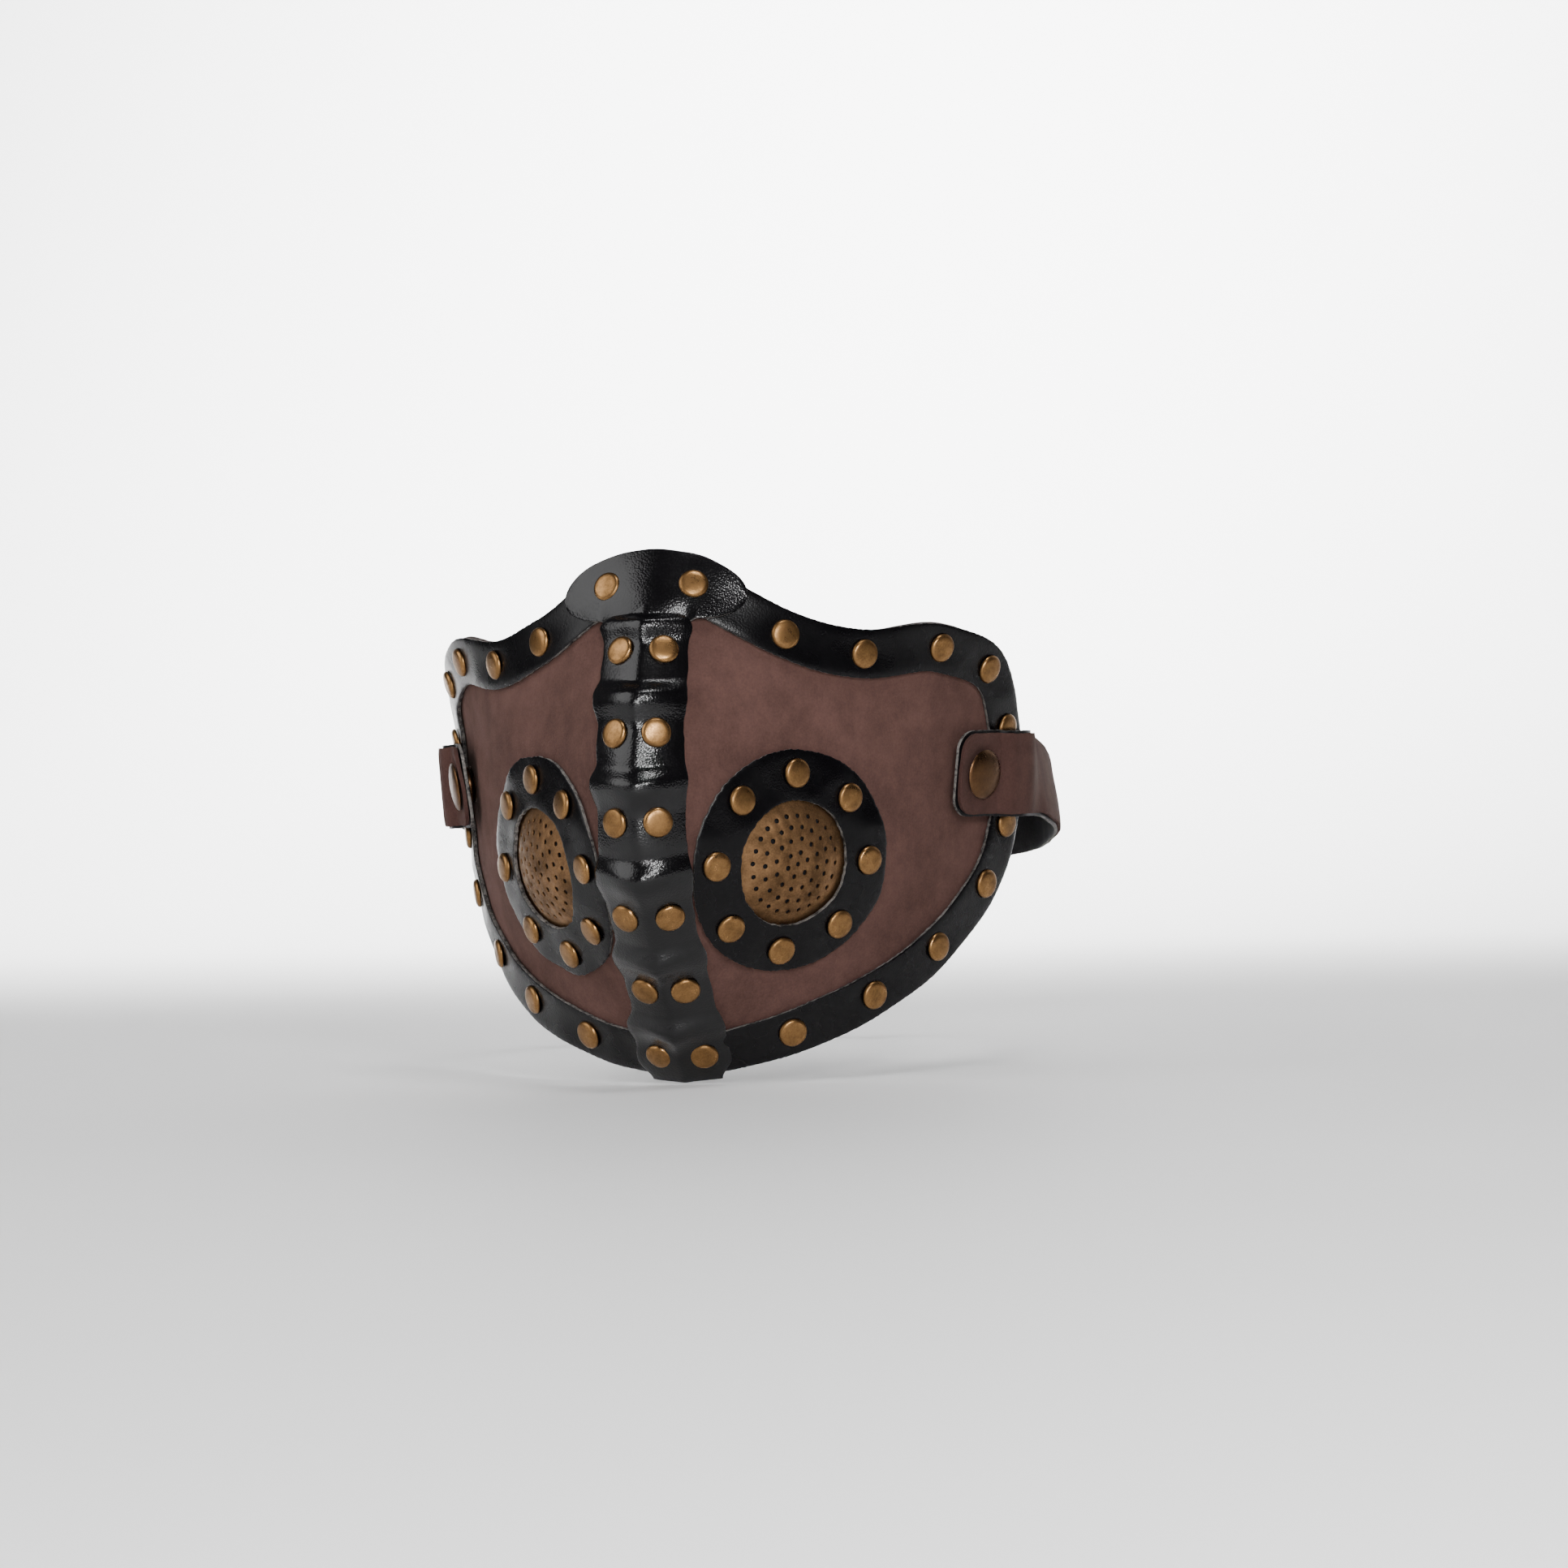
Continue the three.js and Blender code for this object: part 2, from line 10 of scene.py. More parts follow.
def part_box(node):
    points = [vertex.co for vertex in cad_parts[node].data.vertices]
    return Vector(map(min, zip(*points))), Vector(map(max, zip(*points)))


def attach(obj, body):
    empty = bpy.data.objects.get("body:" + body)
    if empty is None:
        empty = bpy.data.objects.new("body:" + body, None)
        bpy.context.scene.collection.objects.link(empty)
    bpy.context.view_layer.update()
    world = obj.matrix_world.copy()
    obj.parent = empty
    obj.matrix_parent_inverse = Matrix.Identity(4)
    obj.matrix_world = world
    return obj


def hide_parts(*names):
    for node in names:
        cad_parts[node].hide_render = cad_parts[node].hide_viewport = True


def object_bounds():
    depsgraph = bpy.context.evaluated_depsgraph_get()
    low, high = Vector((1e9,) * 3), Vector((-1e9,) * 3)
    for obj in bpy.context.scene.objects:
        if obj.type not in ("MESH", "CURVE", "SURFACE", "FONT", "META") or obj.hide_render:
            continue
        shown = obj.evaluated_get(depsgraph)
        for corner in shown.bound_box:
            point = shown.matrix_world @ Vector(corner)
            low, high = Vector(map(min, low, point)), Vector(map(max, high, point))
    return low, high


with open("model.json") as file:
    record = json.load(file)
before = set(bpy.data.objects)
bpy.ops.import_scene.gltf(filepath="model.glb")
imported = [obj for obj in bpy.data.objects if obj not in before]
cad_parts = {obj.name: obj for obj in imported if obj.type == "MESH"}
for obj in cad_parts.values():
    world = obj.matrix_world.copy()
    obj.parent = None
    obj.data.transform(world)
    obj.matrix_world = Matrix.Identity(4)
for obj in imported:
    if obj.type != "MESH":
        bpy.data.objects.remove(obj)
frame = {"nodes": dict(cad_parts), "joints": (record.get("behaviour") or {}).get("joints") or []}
cad_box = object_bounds()

bl_info = {
    "name": "Half-face costume mask",
    "version": (1, 0, 0),
    "blender": (4, 5, 0),
    "location": "View3D > Sidebar > Mask",
    "description": "Makes the mask's sheets, rivets, vents and strap around the packed frame",
    "category": "Mesh",
}

MM = 0.001
JOINTS = {joint["name"]: joint for joint in frame["joints"]}
SIDES = (("left", 1), ("right", -1))


# ------------------------------------------------------------------ sizes and colours

def length(name, description, millimetres):
    """A length in the scene's units, given in millimetres."""
    return FloatProperty(
        name=name, description=description, default=millimetres * MM, unit="LENGTH", precision=5
    )


def paint(name, description, red, green, blue):
    """A colour, given as the eye reads it on a screen from 0 to 255."""
    linear = [
        v / 12.92 if v <= 0.04045 else ((v + 0.055) / 1.055) ** 2.4
        for v in (red / 255, green / 255, blue / 255)
    ]
    return FloatVectorProperty(
        name=name, description=description, default=linear, subtype="COLOR", min=0, max=1
    )


class MaskSizes(bpy.types.PropertyGroup):
    """Lengths of the mask. Nearly all are the same as the frame's."""

    mask_width: length("Mask width", "Across the two rear edges, on the pattern", 140)
    mask_height: length("Mask height", "From the chin edge to the nose bridge", 128)
    nose_round: length("Nose round", "Softness of the ridge down the middle", 7.5)
    rear_wrap: length("Rear wrap", "Extra depth at the rear edges", 28)
    cheek_swell: length("Cheek swell", "How far each cheek swells out in its middle", 3.4)
    panel_thickness: length("Panel thickness", "Suede with its backing", 1.4)
    trim_thickness: length("Trim thickness", "Leatherette of the trims, patches and tab", 1.2)
    trim_width: length("Trim width", "Width of the edge trim", 12)
    strip_width: length("Strip width", "Width of the centre strip", 20.4)
    strip_bulge: length("Strip bulge", "How far the strip stands off the ridge", 1.6)
    strip_taper: length("Strip taper", "How much each half narrows under the tab", 2.4)
    tab_length: length("Tab length", "From one round end of the nose tab to the other", 45.5)
    tab_height: length("Tab height", "Height of the nose tab in its middle", 16.4)
    seam_gap: length("Seam gap", "Between the two cheek panels, under the strip", 0.7)
    layer_gap: length("Layer gap", "Between one layer and the next", 0.3)
    patch_radius: length("Patch radius", "Outer radius of the leatherette round each vent", 27)
    vent_radius: length("Vent radius", "Opening of the patch, in front of the grille", 14.6)
    grille_radius: length("Grille radius", "Outer radius of the perforated disc", 17)
    grille_thickness: length("Grille thickness", "Thickness of the perforated disc", 0.5)
    grille_dome: length("Grille dome", "How far the disc's middle stands out", 2.6)
    hole_radius: length("Hole radius", "Radius of one hole of the grille", 0.56)
    hole_pitch: length("Hole pitch", "Between the grille's circles of holes", 2.85)
    vent_pitch_radius: length("Vent pitch radius", "Circle of the vent rivets", 21.25)
    vent_across: length("Vent across", "Vent's middle on the pattern, to the side", 28.7)
    vent_below: length("Vent below", "Vent's middle on the pattern, below the nose tip", 22.3)
    rivet_radius: length("Rivet radius", "Radius of a rivet's cap", 3.5)
    rivet_cap_height: length("Rivet cap height", "Height of a rivet's cap", 1.3)
    shank_radius: length("Shank radius", "Radius of a rivet's shank", 0.9)
    rivet_back_radius: length("Rivet back radius", "Radius of the head behind the panel", 2.4)
    strap_width: length("Strap width", "Width of the suede strap", 20)
    strap_thickness: length("Strap thickness", "Thickness of the suede", 1.3)
    lining_thickness: length("Lining thickness", "Thickness of the strap's lining", 0.8)
    lining_rim: length("Lining rim", "How far the lining shows past the suede", 0.6)
    strap_corner: length("Strap corner", "Radius of the strap's corners", 5)
    snap_radius: length("Snap radius", "Radius of the snap's cap", 6.1)
    snap_height: length("Snap height", "Height of the snap's cap", 1.5)
    snap_reach: length("Snap reach", "From the snap to the strap's front end", 8.5)
    strap_rest: length("Strap rest", "Strap's underside above the panel at the snap", 2.6)
    strap_lift: length("Strap lift", "Strap's underside above the panel, over the rivets", 5.3)
    loop_flare: length("Loop flare", "How far the strap stands out past the rear edges", 5)
    loop_reach: length("Loop reach", "From the snaps back to the band behind the neck", 112.5)
    strap_drop: length("Strap drop", "How much lower the band lies behind the neck", 15)
    closure_length: length("Closure length", "Length of the hook patch and the loop patch", 44)
    closure_thickness: length("Closure thickness", "Thickness of each patch", 1.0)
    closure_gap: length("Closure gap", "Between the hook patch and the loop patch", 2.2)
    closure_overlap: length("Closure overlap", "Strap's length past the middle of the back", 26)


class MaskShape(bpy.types.PropertyGroup):
    """Numbers of the mask's shape that are not lengths."""

    cheek_flare: FloatProperty(
        name="Cheek flare", description="How fast each cheek runs back", default=1.09
    )
    vent_rivets: IntProperty(
        name="Vent rivets", description="Rivets round each vent", default=8, min=3
    )
    hole_rings: IntProperty(
        name="Rings of holes", description="Circles of holes round the middle one", default=4, min=1
    )


class FinishColours(bpy.types.PropertyGroup):
    """Colours of the mask's materials."""

    suede: paint("Suede", "Brown face of the cheek panels", 84, 61, 56)
    # Painted shade: the straps have the panels' suede, painted darker for the shade that they lie
    # in.
    shaded_strap_suede: paint("Strap suede", "Brown face of the straps", 73, 52, 48)
    suede_back: paint("Suede back", "Brushed reverse of the suede", 56, 42, 38)
    leatherette: paint("Leatherette", "Black of the trims, strip and patches", 6, 5, 7)
    cut_fibre: paint("Cut fibre", "Grey fibres at the leatherette's cut edges", 118, 114, 110)
    rivet_brass: paint("Rivet brass", "Antique brass of the rivets", 150, 113, 72)
    grille_brass: paint("Grille brass", "Tarnished brass of the grilles", 140, 107, 75)
    snap_brass: paint("Snap brass", "Dark brass of the snaps", 102, 75, 52)
    tape: paint("Tape", "Black hook-and-loop tape", 26, 26, 28)
    floor: paint("Floor", "Pale studio floor", 238, 238, 238)


class StageSizes(bpy.types.PropertyGroup):
    """Place of the camera and the floor."""

    yaw: FloatProperty(
        name="Yaw", description="Camera's turn to the wearer's left", default=math.radians(14.54),
        subtype="ANGLE",
    )
    pitch: FloatProperty(
        name="Pitch", description="Camera's height over the horizon", default=math.radians(0.59),
        subtype="ANGLE",
    )
    roll: FloatProperty(
        name="Roll", description="Camera's tilt", default=math.radians(-1.52), subtype="ANGLE"
    )
    distance: length("Distance", "From the camera to the point that it looks at", 1300)
    aim_right: length("Aim right", "That point's place to the right of the origin", 16.0)
    aim_up: length("Aim up", "That point's place above the origin", -1.83)
    lens: FloatProperty(
        name="Lens", description="Focal length in millimetres", default=119.77, unit="CAMERA"
    )
    floor_gap: length("Floor gap", "Between the mask's chin and the floor", 0.6)
    floor_size: length("Floor size", "Half of the floor's side", 1500)


class Millimetres:
    """Gives the lengths of MaskSizes in millimetres."""

    def __getattr__(self, name):
        return getattr(bpy.context.scene.mask_sizes, name) / MM


mm = Millimetres()


def finishes():
    return bpy.context.scene.mask_colours


# ------------------------------------------------------------------ the face surface

def wide():
    return mm.mask_width / 140


def tall():
    return mm.mask_height / 128


def lerp(low, high, share):
    return low + (high - low) * share


def smoothstep(value, low, high):
    share = np.clip((value - low) / (high - low), 0, 1)
    return share * share * (3 - 2 * share)


def hump(distance, width):
    """A soft hump of height 1, about as wide as the given width on each side."""
    return np.exp(-((distance / width) ** 2))


def soft_ramp(distance, width):
    return width * np.logaddexp(0, distance / width)


def face_depth(x, z):
    """Depth of the cheek panels' outer face at places of the pattern."""
    ridge = tall() * (
        0.78 * soft_ramp(-25 - z / tall(), 5) + 0.52 * soft_ramp(z / tall() - 12, 6)
    )
    level = (z / tall() + 15) / 50
    cheek = bpy.context.scene.mask_shape.cheek_flare - 0.46 * level**2
    wrap = mm.rear_wrap - 6.5 * level - 2.7 * level**2
    spread = np.hypot(x, mm.nose_round) - mm.nose_round
    return ridge + cheek * spread + wrap * (x / (70 * wide())) ** 4


def unit(vectors):
    return vectors / np.linalg.norm(vectors, axis=-1, keepdims=True)


def face_normal(x, z):
    step = 0.05
    across = (face_depth(x + step, z) - face_depth(x - step, z)) / (2 * step)
    upwards = (face_depth(x, z + step) - face_depth(x, z - step)) / (2 * step)
    return unit(np.stack([across, -np.ones_like(across), upwards], axis=-1))


def swell(x, z):
    """How far the cheek swells out over the face surface."""
    across = (np.abs(x) / wide() - 42) / 34
    level = (z / tall() + 16) / 40
    return mm.cheek_swell * np.exp(-(across**2) - level**2)


def on_face(x, z, height=0.0):
    """Points above the swollen face surface, outwards along its normal."""
    x, z, height = np.broadcast_arrays(
        np.asarray(x, float), np.asarray(z, float), np.asarray(height, float)
    )
    base = np.stack([x, face_depth(x, z), z], axis=-1)
    return base + (height + swell(x, z))[..., None] * face_normal(x, z)


def headings(x, z):
    """The level and the upward direction along the surface, at places of the pattern."""
    normal = face_normal(x, z)
    level = unit(np.cross([0.0, 0.0, 1.0], normal))
    return level, np.cross(normal, level)


def walk(x, z, angle, distance, steps=5):
    """Walks over the surface. Angle 0 heads level to the wearer's left, a quarter turn up."""
    x, z, angle, distance = (
        a.copy() for a in np.broadcast_arrays(
            *(np.asarray(v, float) for v in (x, z, angle, distance))
        )
    )
    for _ in range(steps):
        level, up = headings(x, z)
        x += (level[..., 0] * np.cos(angle) + up[..., 0] * np.sin(angle)) * distance / steps
        z += (level[..., 2] * np.cos(angle) + up[..., 2] * np.sin(angle)) * distance / steps
    return x, z


def smooth_curve(points, share):
    """Points on a centripetal Catmull-Rom curve; share runs evenly over its points."""
    points = np.asarray(points, float)
    padded = np.vstack([2 * points[0] - points[1], points, 2 * points[-1] - points[-2]])
    place = np.clip(share, 0, 1) * (len(points) - 1)
    first = np.minimum(place.astype(int), len(points) - 2)
    t = (place - first)[:, None]
    p0, p1, p2, p3 = (padded[first + i] for i in range(4))
    d0, d1, d2 = (
        np.sqrt(np.linalg.norm(b - a, axis=1, keepdims=True))
        for a, b in ((p0, p1), (p1, p2), (p2, p3))
    )
    leave = ((p1 - p0) / d0 - (p2 - p0) / (d0 + d1) + (p2 - p1) / d1) * d1
    arrive = ((p2 - p1) / d1 - (p3 - p1) / (d1 + d2) + (p3 - p2) / d2) * d1
    squared = -3 * p1 + 3 * p2 - 2 * leave - arrive
    return p1 + leave * t + squared * t**2 + (2 * p1 - 2 * p2 + leave + arrive) * t**3


def unevenness(x, z, size, seed):
    """Smooth waves from about -1 to 1 whose usual length is the given size."""
    draw = np.random.default_rng(seed)
    total = 0.0
    for _ in range(7):
        turn, start = draw.uniform(0, math.tau, 2)
        stretch = draw.uniform(0.7, 1.5)
        along = x * math.cos(turn) + z * math.sin(turn)
        total = total + np.sin(math.tau * along / (size * stretch) + start)
    return total / 3


# ------------------------------------------------------------------ places, from the frame

CHIN, BRIDGE = -73.5, 48  # both ends of the seam on the pattern, in millimetres
STRIP_TOP = 46  # the strip's upper end, hidden under the nose tab
PLEATS_TOP = 41.5  # where the highest pleat has sunk away, under the tab
TAB_MIDDLE = 43.6  # height of the nose tab's middle
TRIM_RUN = 260  # about the length of one trim


def snap_place():
    return JOINTS["left_strap_swivel"]["pos_m"][0] / MM, -2.2 * tall()


def settle(points, side=1):
    """Pattern points, in millimetres, as places in the frame, in metres."""
    x, z = snap_place()
    moved = np.asarray(points, float) - [0, float(face_depth(x, z)), z]
    return moved * [side * MM, MM, MM]


def foot(node):
    """The place on the pattern over which a turned piece of the frame stands."""
    places = [tuple(round(c, 6) for c in v.co) for v in frame["nodes"][node].data.vertices]
    x0, z0 = snap_place()
    middle = np.mean(sorted(set(places)), axis=0) / MM
    middle = middle * [np.sign(middle[0]), 1, 1] + [0, float(face_depth(x0, z0)), z0]
    x, z = middle[0], middle[2]
    for _ in range(12):
        normal = face_normal(x, z)
        height = (middle - [x, face_depth(x, z), z]) @ normal
        x, z = middle[0] - height * normal[0], middle[2] - height * normal[2]
    return float(x), float(z)


def feet(kind, count):
    return [foot(f"left_{kind}_{i + 1}") for i in range(count)]


def trim_rivets():
    return feet("trim_rivet", 10)


def strip_rivets():
    return feet("strip_rivet", 6)


def vent_centre():
    return mm.vent_across * wide(), -mm.vent_below * tall()


def vent_rivets():
    turns = np.arange(bpy.context.scene.mask_shape.vent_rivets) * math.tau
    turns = turns / bpy.context.scene.mask_shape.vent_rivets
    x, z = walk(*vent_centre(), turns, mm.vent_pitch_radius)
    return list(zip(x.tolist(), z.tolist()))


def trim_line(along):
    """The line of the trim's rivets, from under the nose tab to the chin."""
    stretch = np.array([wide(), tall()])
    start = np.array([[-4, 48], [11, 42.8]]) * stretch
    end = np.array([[9, -67.6], [-4, -69]]) * stretch
    return smooth_curve(np.vstack([start, trim_rivets(), end]), along)


def on_trim(along, offset):
    """Places on the trim; the offset runs outwards from the line of rivets."""
    along, offset = np.broadcast_arrays(np.asarray(along, float), np.asarray(offset, float))
    step = 1e-4
    middle = trim_line(along)
    ahead = unit(trim_line(np.minimum(along + step, 1)) - trim_line(np.maximum(along - step, 0)))
    x, z = middle[:, 0], middle[:, 1]
    forward = on_face(x + ahead[:, 0] * 0.2, z + ahead[:, 1] * 0.2) - on_face(x, z)
    level, up = headings(x, z)
    outwards = -np.cross(forward, face_normal(x, z))
    angle = np.arctan2((outwards * up).sum(1), (outwards * level).sum(1))
    return walk(x, z, angle, offset)


def nearest(x, z, places):
    """Distance on the pattern from each point to the nearest of the places."""
    gaps = [np.hypot(x - px, z - pz) for px, pz in places]
    return np.min(gaps, axis=0)


# ------------------------------------------------------------------ modelling

MASK_INSIDE = Vector((0, 0.05, 0))  # a point that every sheet of the mask turns its back to
STRAP_INSIDE = Vector((0, 0.03, -0.01))  # the same for the strap, in the middle of its loop


def deselect():
    if bpy.context.object and bpy.context.object.mode != "OBJECT":
        bpy.ops.object.mode_set(mode="OBJECT")
    bpy.ops.object.select_all(action="DESELECT")


def edit(piece, mode="VERT"):
    deselect()
    piece.select_set(True)
    bpy.context.view_layer.objects.active = piece
    bpy.ops.object.mode_set(mode="EDIT")
    bpy.ops.mesh.select_mode(type=mode)


def corners(piece):
    places = np.empty(len(piece.data.vertices) * 3)
    piece.data.vertices.foreach_get("co", places)
    return places.reshape(-1, 3)


def move_corners(piece, places):
    piece.data.vertices.foreach_set("co", np.asarray(places, float).ravel())
    piece.data.update()


def grid(name, columns, rows):
    """A flat grid, one metre across, that is bent into a sheet afterwards."""
    deselect()
    bpy.ops.mesh.primitive_grid_add(x_subdivisions=columns, y_subdivisions=rows, size=1)
    piece = bpy.context.object
    piece.name = piece.data.name = name
    return piece


def bend(piece, place_of, side=1):
    """Moves every corner of a flat piece to the place that the function gives for it."""
    flat = corners(piece)
    move_corners(piece, settle(place_of(flat[:, 0] + 0.5, flat[:, 1] + 0.5), side))


def face_out(piece, inside):
    """Turns a sheet's faces away from a point on its inner side."""
    outward = sum((f.center - inside).dot(f.normal) * f.area for f in piece.data.polygons)
    if outward < 0:
        edit(piece)
        bpy.ops.mesh.select_all(action="SELECT")
        bpy.ops.mesh.flip_normals()
        deselect()


def apply(piece, kind, **settings):
    deselect()
    piece.select_set(True)
    bpy.context.view_layer.objects.active = piece
    modifier = piece.modifiers.new(kind.title(), kind)
    for key, value in settings.items():
        setattr(modifier, key, value)
    bpy.ops.object.modifier_apply(modifier=modifier.name)


def thicken(piece, thickness, back=0, rim=0, round_edge=0.12):
    """Gives a sheet its thickness inwards, and softens its cut edges."""
    apply(
        piece, "SOLIDIFY", thickness=thickness * MM, offset=-1, use_even_offset=False,
        use_rim=True, material_offset=back, material_offset_rim=rim,
    )
    if round_edge:
        apply(
            piece, "BEVEL", width=round_edge * MM, segments=2, limit_method="ANGLE",
            angle_limit=math.radians(50), material=-1,
        )


def smooth(piece, degrees=40):
    deselect()
    piece.select_set(True)
    bpy.context.view_layer.objects.active = piece
    bpy.ops.object.shade_smooth_by_angle(angle=math.radians(degrees))
    piece.select_set(False)


def turned(name, profile, segments=32):
    """A turned piece that stands on Z, from rings of (radius, height) in millimetres.

    It grows ring by ring. A profile that starts or ends on the axis gets a closed pole there,
    and one that returns to its first ring is closed into a ring.
    """
    deselect()
    starts_on_axis = profile[0][0] == 0
    first = 1 if starts_on_axis else 0
    radius, height = profile[first]
    bpy.ops.mesh.primitive_circle_add(
        vertices=segments, radius=radius * MM, location=(0, 0, height * MM),
        fill_type="TRIFAN" if starts_on_axis else "NOTHING",
    )
    piece = bpy.context.object
    piece.name = piece.data.name = name
    bpy.ops.object.transform_apply(location=True)
    if starts_on_axis:
        hub = int(np.argmin(np.hypot(*corners(piece).T[:2])))
        piece.data.vertices[hub].co.z = profile[0][1] * MM
    edit(piece, "EDGE")
    bpy.ops.mesh.select_all(action="SELECT" if not starts_on_axis else "DESELECT")
    if starts_on_axis:
        bpy.ops.mesh.select_non_manifold(use_boundary=True)
    for next_radius, next_height in profile[first + 1:]:
        ratio = max(next_radius, 1e-4) / radius
        bpy.ops.mesh.extrude_edges_move()
        bpy.ops.transform.translate(value=(0, 0, (next_height - height) * MM))
        bpy.ops.transform.resize(
            value=(ratio, ratio, 1), center_override=(0, 0, next_height * MM)
        )
        radius, height = max(next_radius, 1e-4), next_height
    bpy.ops.mesh.select_all(action="SELECT")
    bpy.ops.mesh.remove_doubles(threshold=0.002 * MM)
    bpy.ops.mesh.normals_make_consistent(inside=False)
    deselect()
    return piece


def standing(x, z, side, height=0.0, spin=0.0, tilt=(0.0, 0.0)):
    """The matrix that stands a turned piece on the face surface."""
    normal = Vector(face_normal(np.float64(x), np.float64(z)))
    normal = Vector((side * normal.x, normal.y, normal.z))
    place = Vector(settle(on_face(x, z, height), side))
    turn = Vector((0, 0, 1)).rotation_difference(normal).to_matrix().to_4x4()
    lean = Matrix.Rotation(tilt[0], 4, "X") @ Matrix.Rotation(tilt[1], 4, "Y")
    return Matrix.Translation(place) @ turn @ lean @ Matrix.Rotation(spin, 4, "Z")


def copy_at(pattern, name, matrix):
    """A copy with its own mesh, whose place is in its mesh."""
    piece = bpy.data.objects.new(name, pattern.data.copy())
    piece.data.name = name
    piece.data.transform(matrix)
    bpy.context.scene.collection.objects.link(piece)
    return piece


def remove(piece):
    bpy.data.meshes.remove(piece.data)


def scattered(name, pattern, matrices):
    """One mesh that holds a copy of a small pattern at each matrix."""
    base = corners(pattern)
    polygons = [list(f.vertices) for f in pattern.data.polygons]
    places, faces = [], []
    for matrix in matrices:
        start = len(base) * len(places)
        turn = np.array(matrix)
        places.append(base @ turn[:3, :3].T + turn[:3, 3])
        faces.extend([start + v for v in face] for face in polygons)
    mesh = bpy.data.meshes.new(name)
    mesh.from_pydata(np.concatenate(places).tolist(), [], faces)
    piece = bpy.data.objects.new(name, mesh)
    bpy.context.scene.collection.objects.link(piece)
    return piece


def dress(piece, *materials):
    piece.data.materials.clear()
    for material in materials:
        piece.data.materials.append(material)


def leather_gauge():
    """Thickness of the leatherette sheets, a little under that of their solids."""
    return mm.trim_thickness - 0.2


def layers(face):
    """The three finishes of a leatherette sheet: its face, its back and its cut edge."""
    return face, suede_back(), fibre_material()


def finish_sheet(sheet, thickness, materials, round_edge=0.12, degrees=40, inside=MASK_INSIDE):
    """Makes a bent sheet solid. The materials are those of its face, its back and its edge."""
    last = len(materials) - 1
    face_out(sheet, inside)
    dress(sheet, *materials)
    thicken(sheet, thickness, min(1, last), last, round_edge)
    smooth(sheet, degrees)


def hand_over(piece, body, slot, *nodes):
    """Ties a finished piece to its body and hides the nodes that it stands for. The slot, its
    finish, is not used.
    """
    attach(piece, body)
    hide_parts(*nodes)


# ------------------------------------------------------------------ materials

def add_node(tree, kind, inputs=None, **settings):
    node = tree.nodes.new("ShaderNode" + kind)
    for key, value in settings.items():
        setattr(node, key, value)
    for key, value in (inputs or {}).items():
        if isinstance(value, bpy.types.NodeSocket):
            tree.links.new(value, node.inputs[key])
        else:
            node.inputs[key].default_value = value
    return node


def calculate(tree, operation, *values):
    inputs = dict(enumerate(values))
    return add_node(tree, "Math", inputs, operation=operation).outputs[0]


def spread(tree, value, low, high, new_low=0.0, new_high=1.0):
    """A value from low to high, as one from new_low to new_high, cut at both ends."""
    inputs = {0: value, 1: low, 2: high, 3: new_low, 4: new_high}
    return add_node(tree, "MapRange", inputs).outputs[0]


def blended(tree, share, first, second):
    node = add_node(tree, "Mix", {0: share, 6: first, 7: second}, data_type="RGBA")
    return node.outputs[2]


def noise(tree, scale, detail=3.0, roughness=0.5, stretch=(1, 1, 1)):
    place = add_node(tree, "TexCoord").outputs["Object"]
    turned_place = add_node(tree, "Mapping", {"Vector": place, "Scale": stretch}).outputs[0]
    inputs = {"Vector": turned_place, "Scale": scale, "Detail": detail, "Roughness": roughness}
    return add_node(tree, "TexNoise", inputs).outputs["Fac"]


def shade(colour, factor):
    return tuple(min(1.0, c * factor) for c in colour[:3]) + (1.0,)


def group(name, inputs, outputs, build):
    """A node group of numbers that more than one material uses."""
    if name in bpy.data.node_groups:
        return bpy.data.node_groups[name]
    tree = bpy.data.node_groups.new(name, "ShaderNodeTree")
    for label, default in inputs:
        socket = tree.interface.new_socket(label, in_out="INPUT", socket_type="NodeSocketFloat")
        socket.default_value = default
    for label in outputs:
        tree.interface.new_socket(label, in_out="OUTPUT", socket_type="NodeSocketFloat")
    given = tree.nodes.new("NodeGroupInput").outputs
    result = tree.nodes.new("NodeGroupOutput")
    for label, value in zip(outputs, build(tree, given)):
        tree.links.new(value, result.inputs[label])
    return tree


def use_group(tree, shared, **values):
    node = tree.nodes.new("ShaderNodeGroup")
    node.node_tree = shared
    for label, value in values.items():
        node.inputs[label.replace("_", " ").capitalize()].default_value = value
    return node.outputs


def suede_nap():
    """Brushed nap: wide cloudy shades, short brush marks, and fine fibres."""
    def build(tree, given):
        clouds = noise(tree, 34, 4, 0.6)
        brushed = noise(tree, 170, 4, 0.65, (1.0, 1.0, 0.8))
        fibres = noise(tree, 1900, 2, 0.7)
        wide_shade = calculate(tree, "MULTIPLY", spread(tree, clouds, 0.36, 0.64), given["Clouds"])
        near_shade = calculate(tree, "MULTIPLY", spread(tree, brushed, 0.36, 0.64), given["Brush"])
        both = calculate(tree, "ADD", wide_shade, near_shade)
        speckle = calculate(tree, "MULTIPLY", spread(tree, fibres, 0.3, 0.7), given["Fibres"])
        height = calculate(tree, "ADD", calculate(tree, "MULTIPLY", brushed, 0.5), fibres)
        return calculate(tree, "ADD", both, speckle), height
    inputs = [("Clouds", 0.4), ("Brush", 0.3), ("Fibres", 0.3)]
    return group("Suede nap", inputs, ["Shade", "Height"], build)


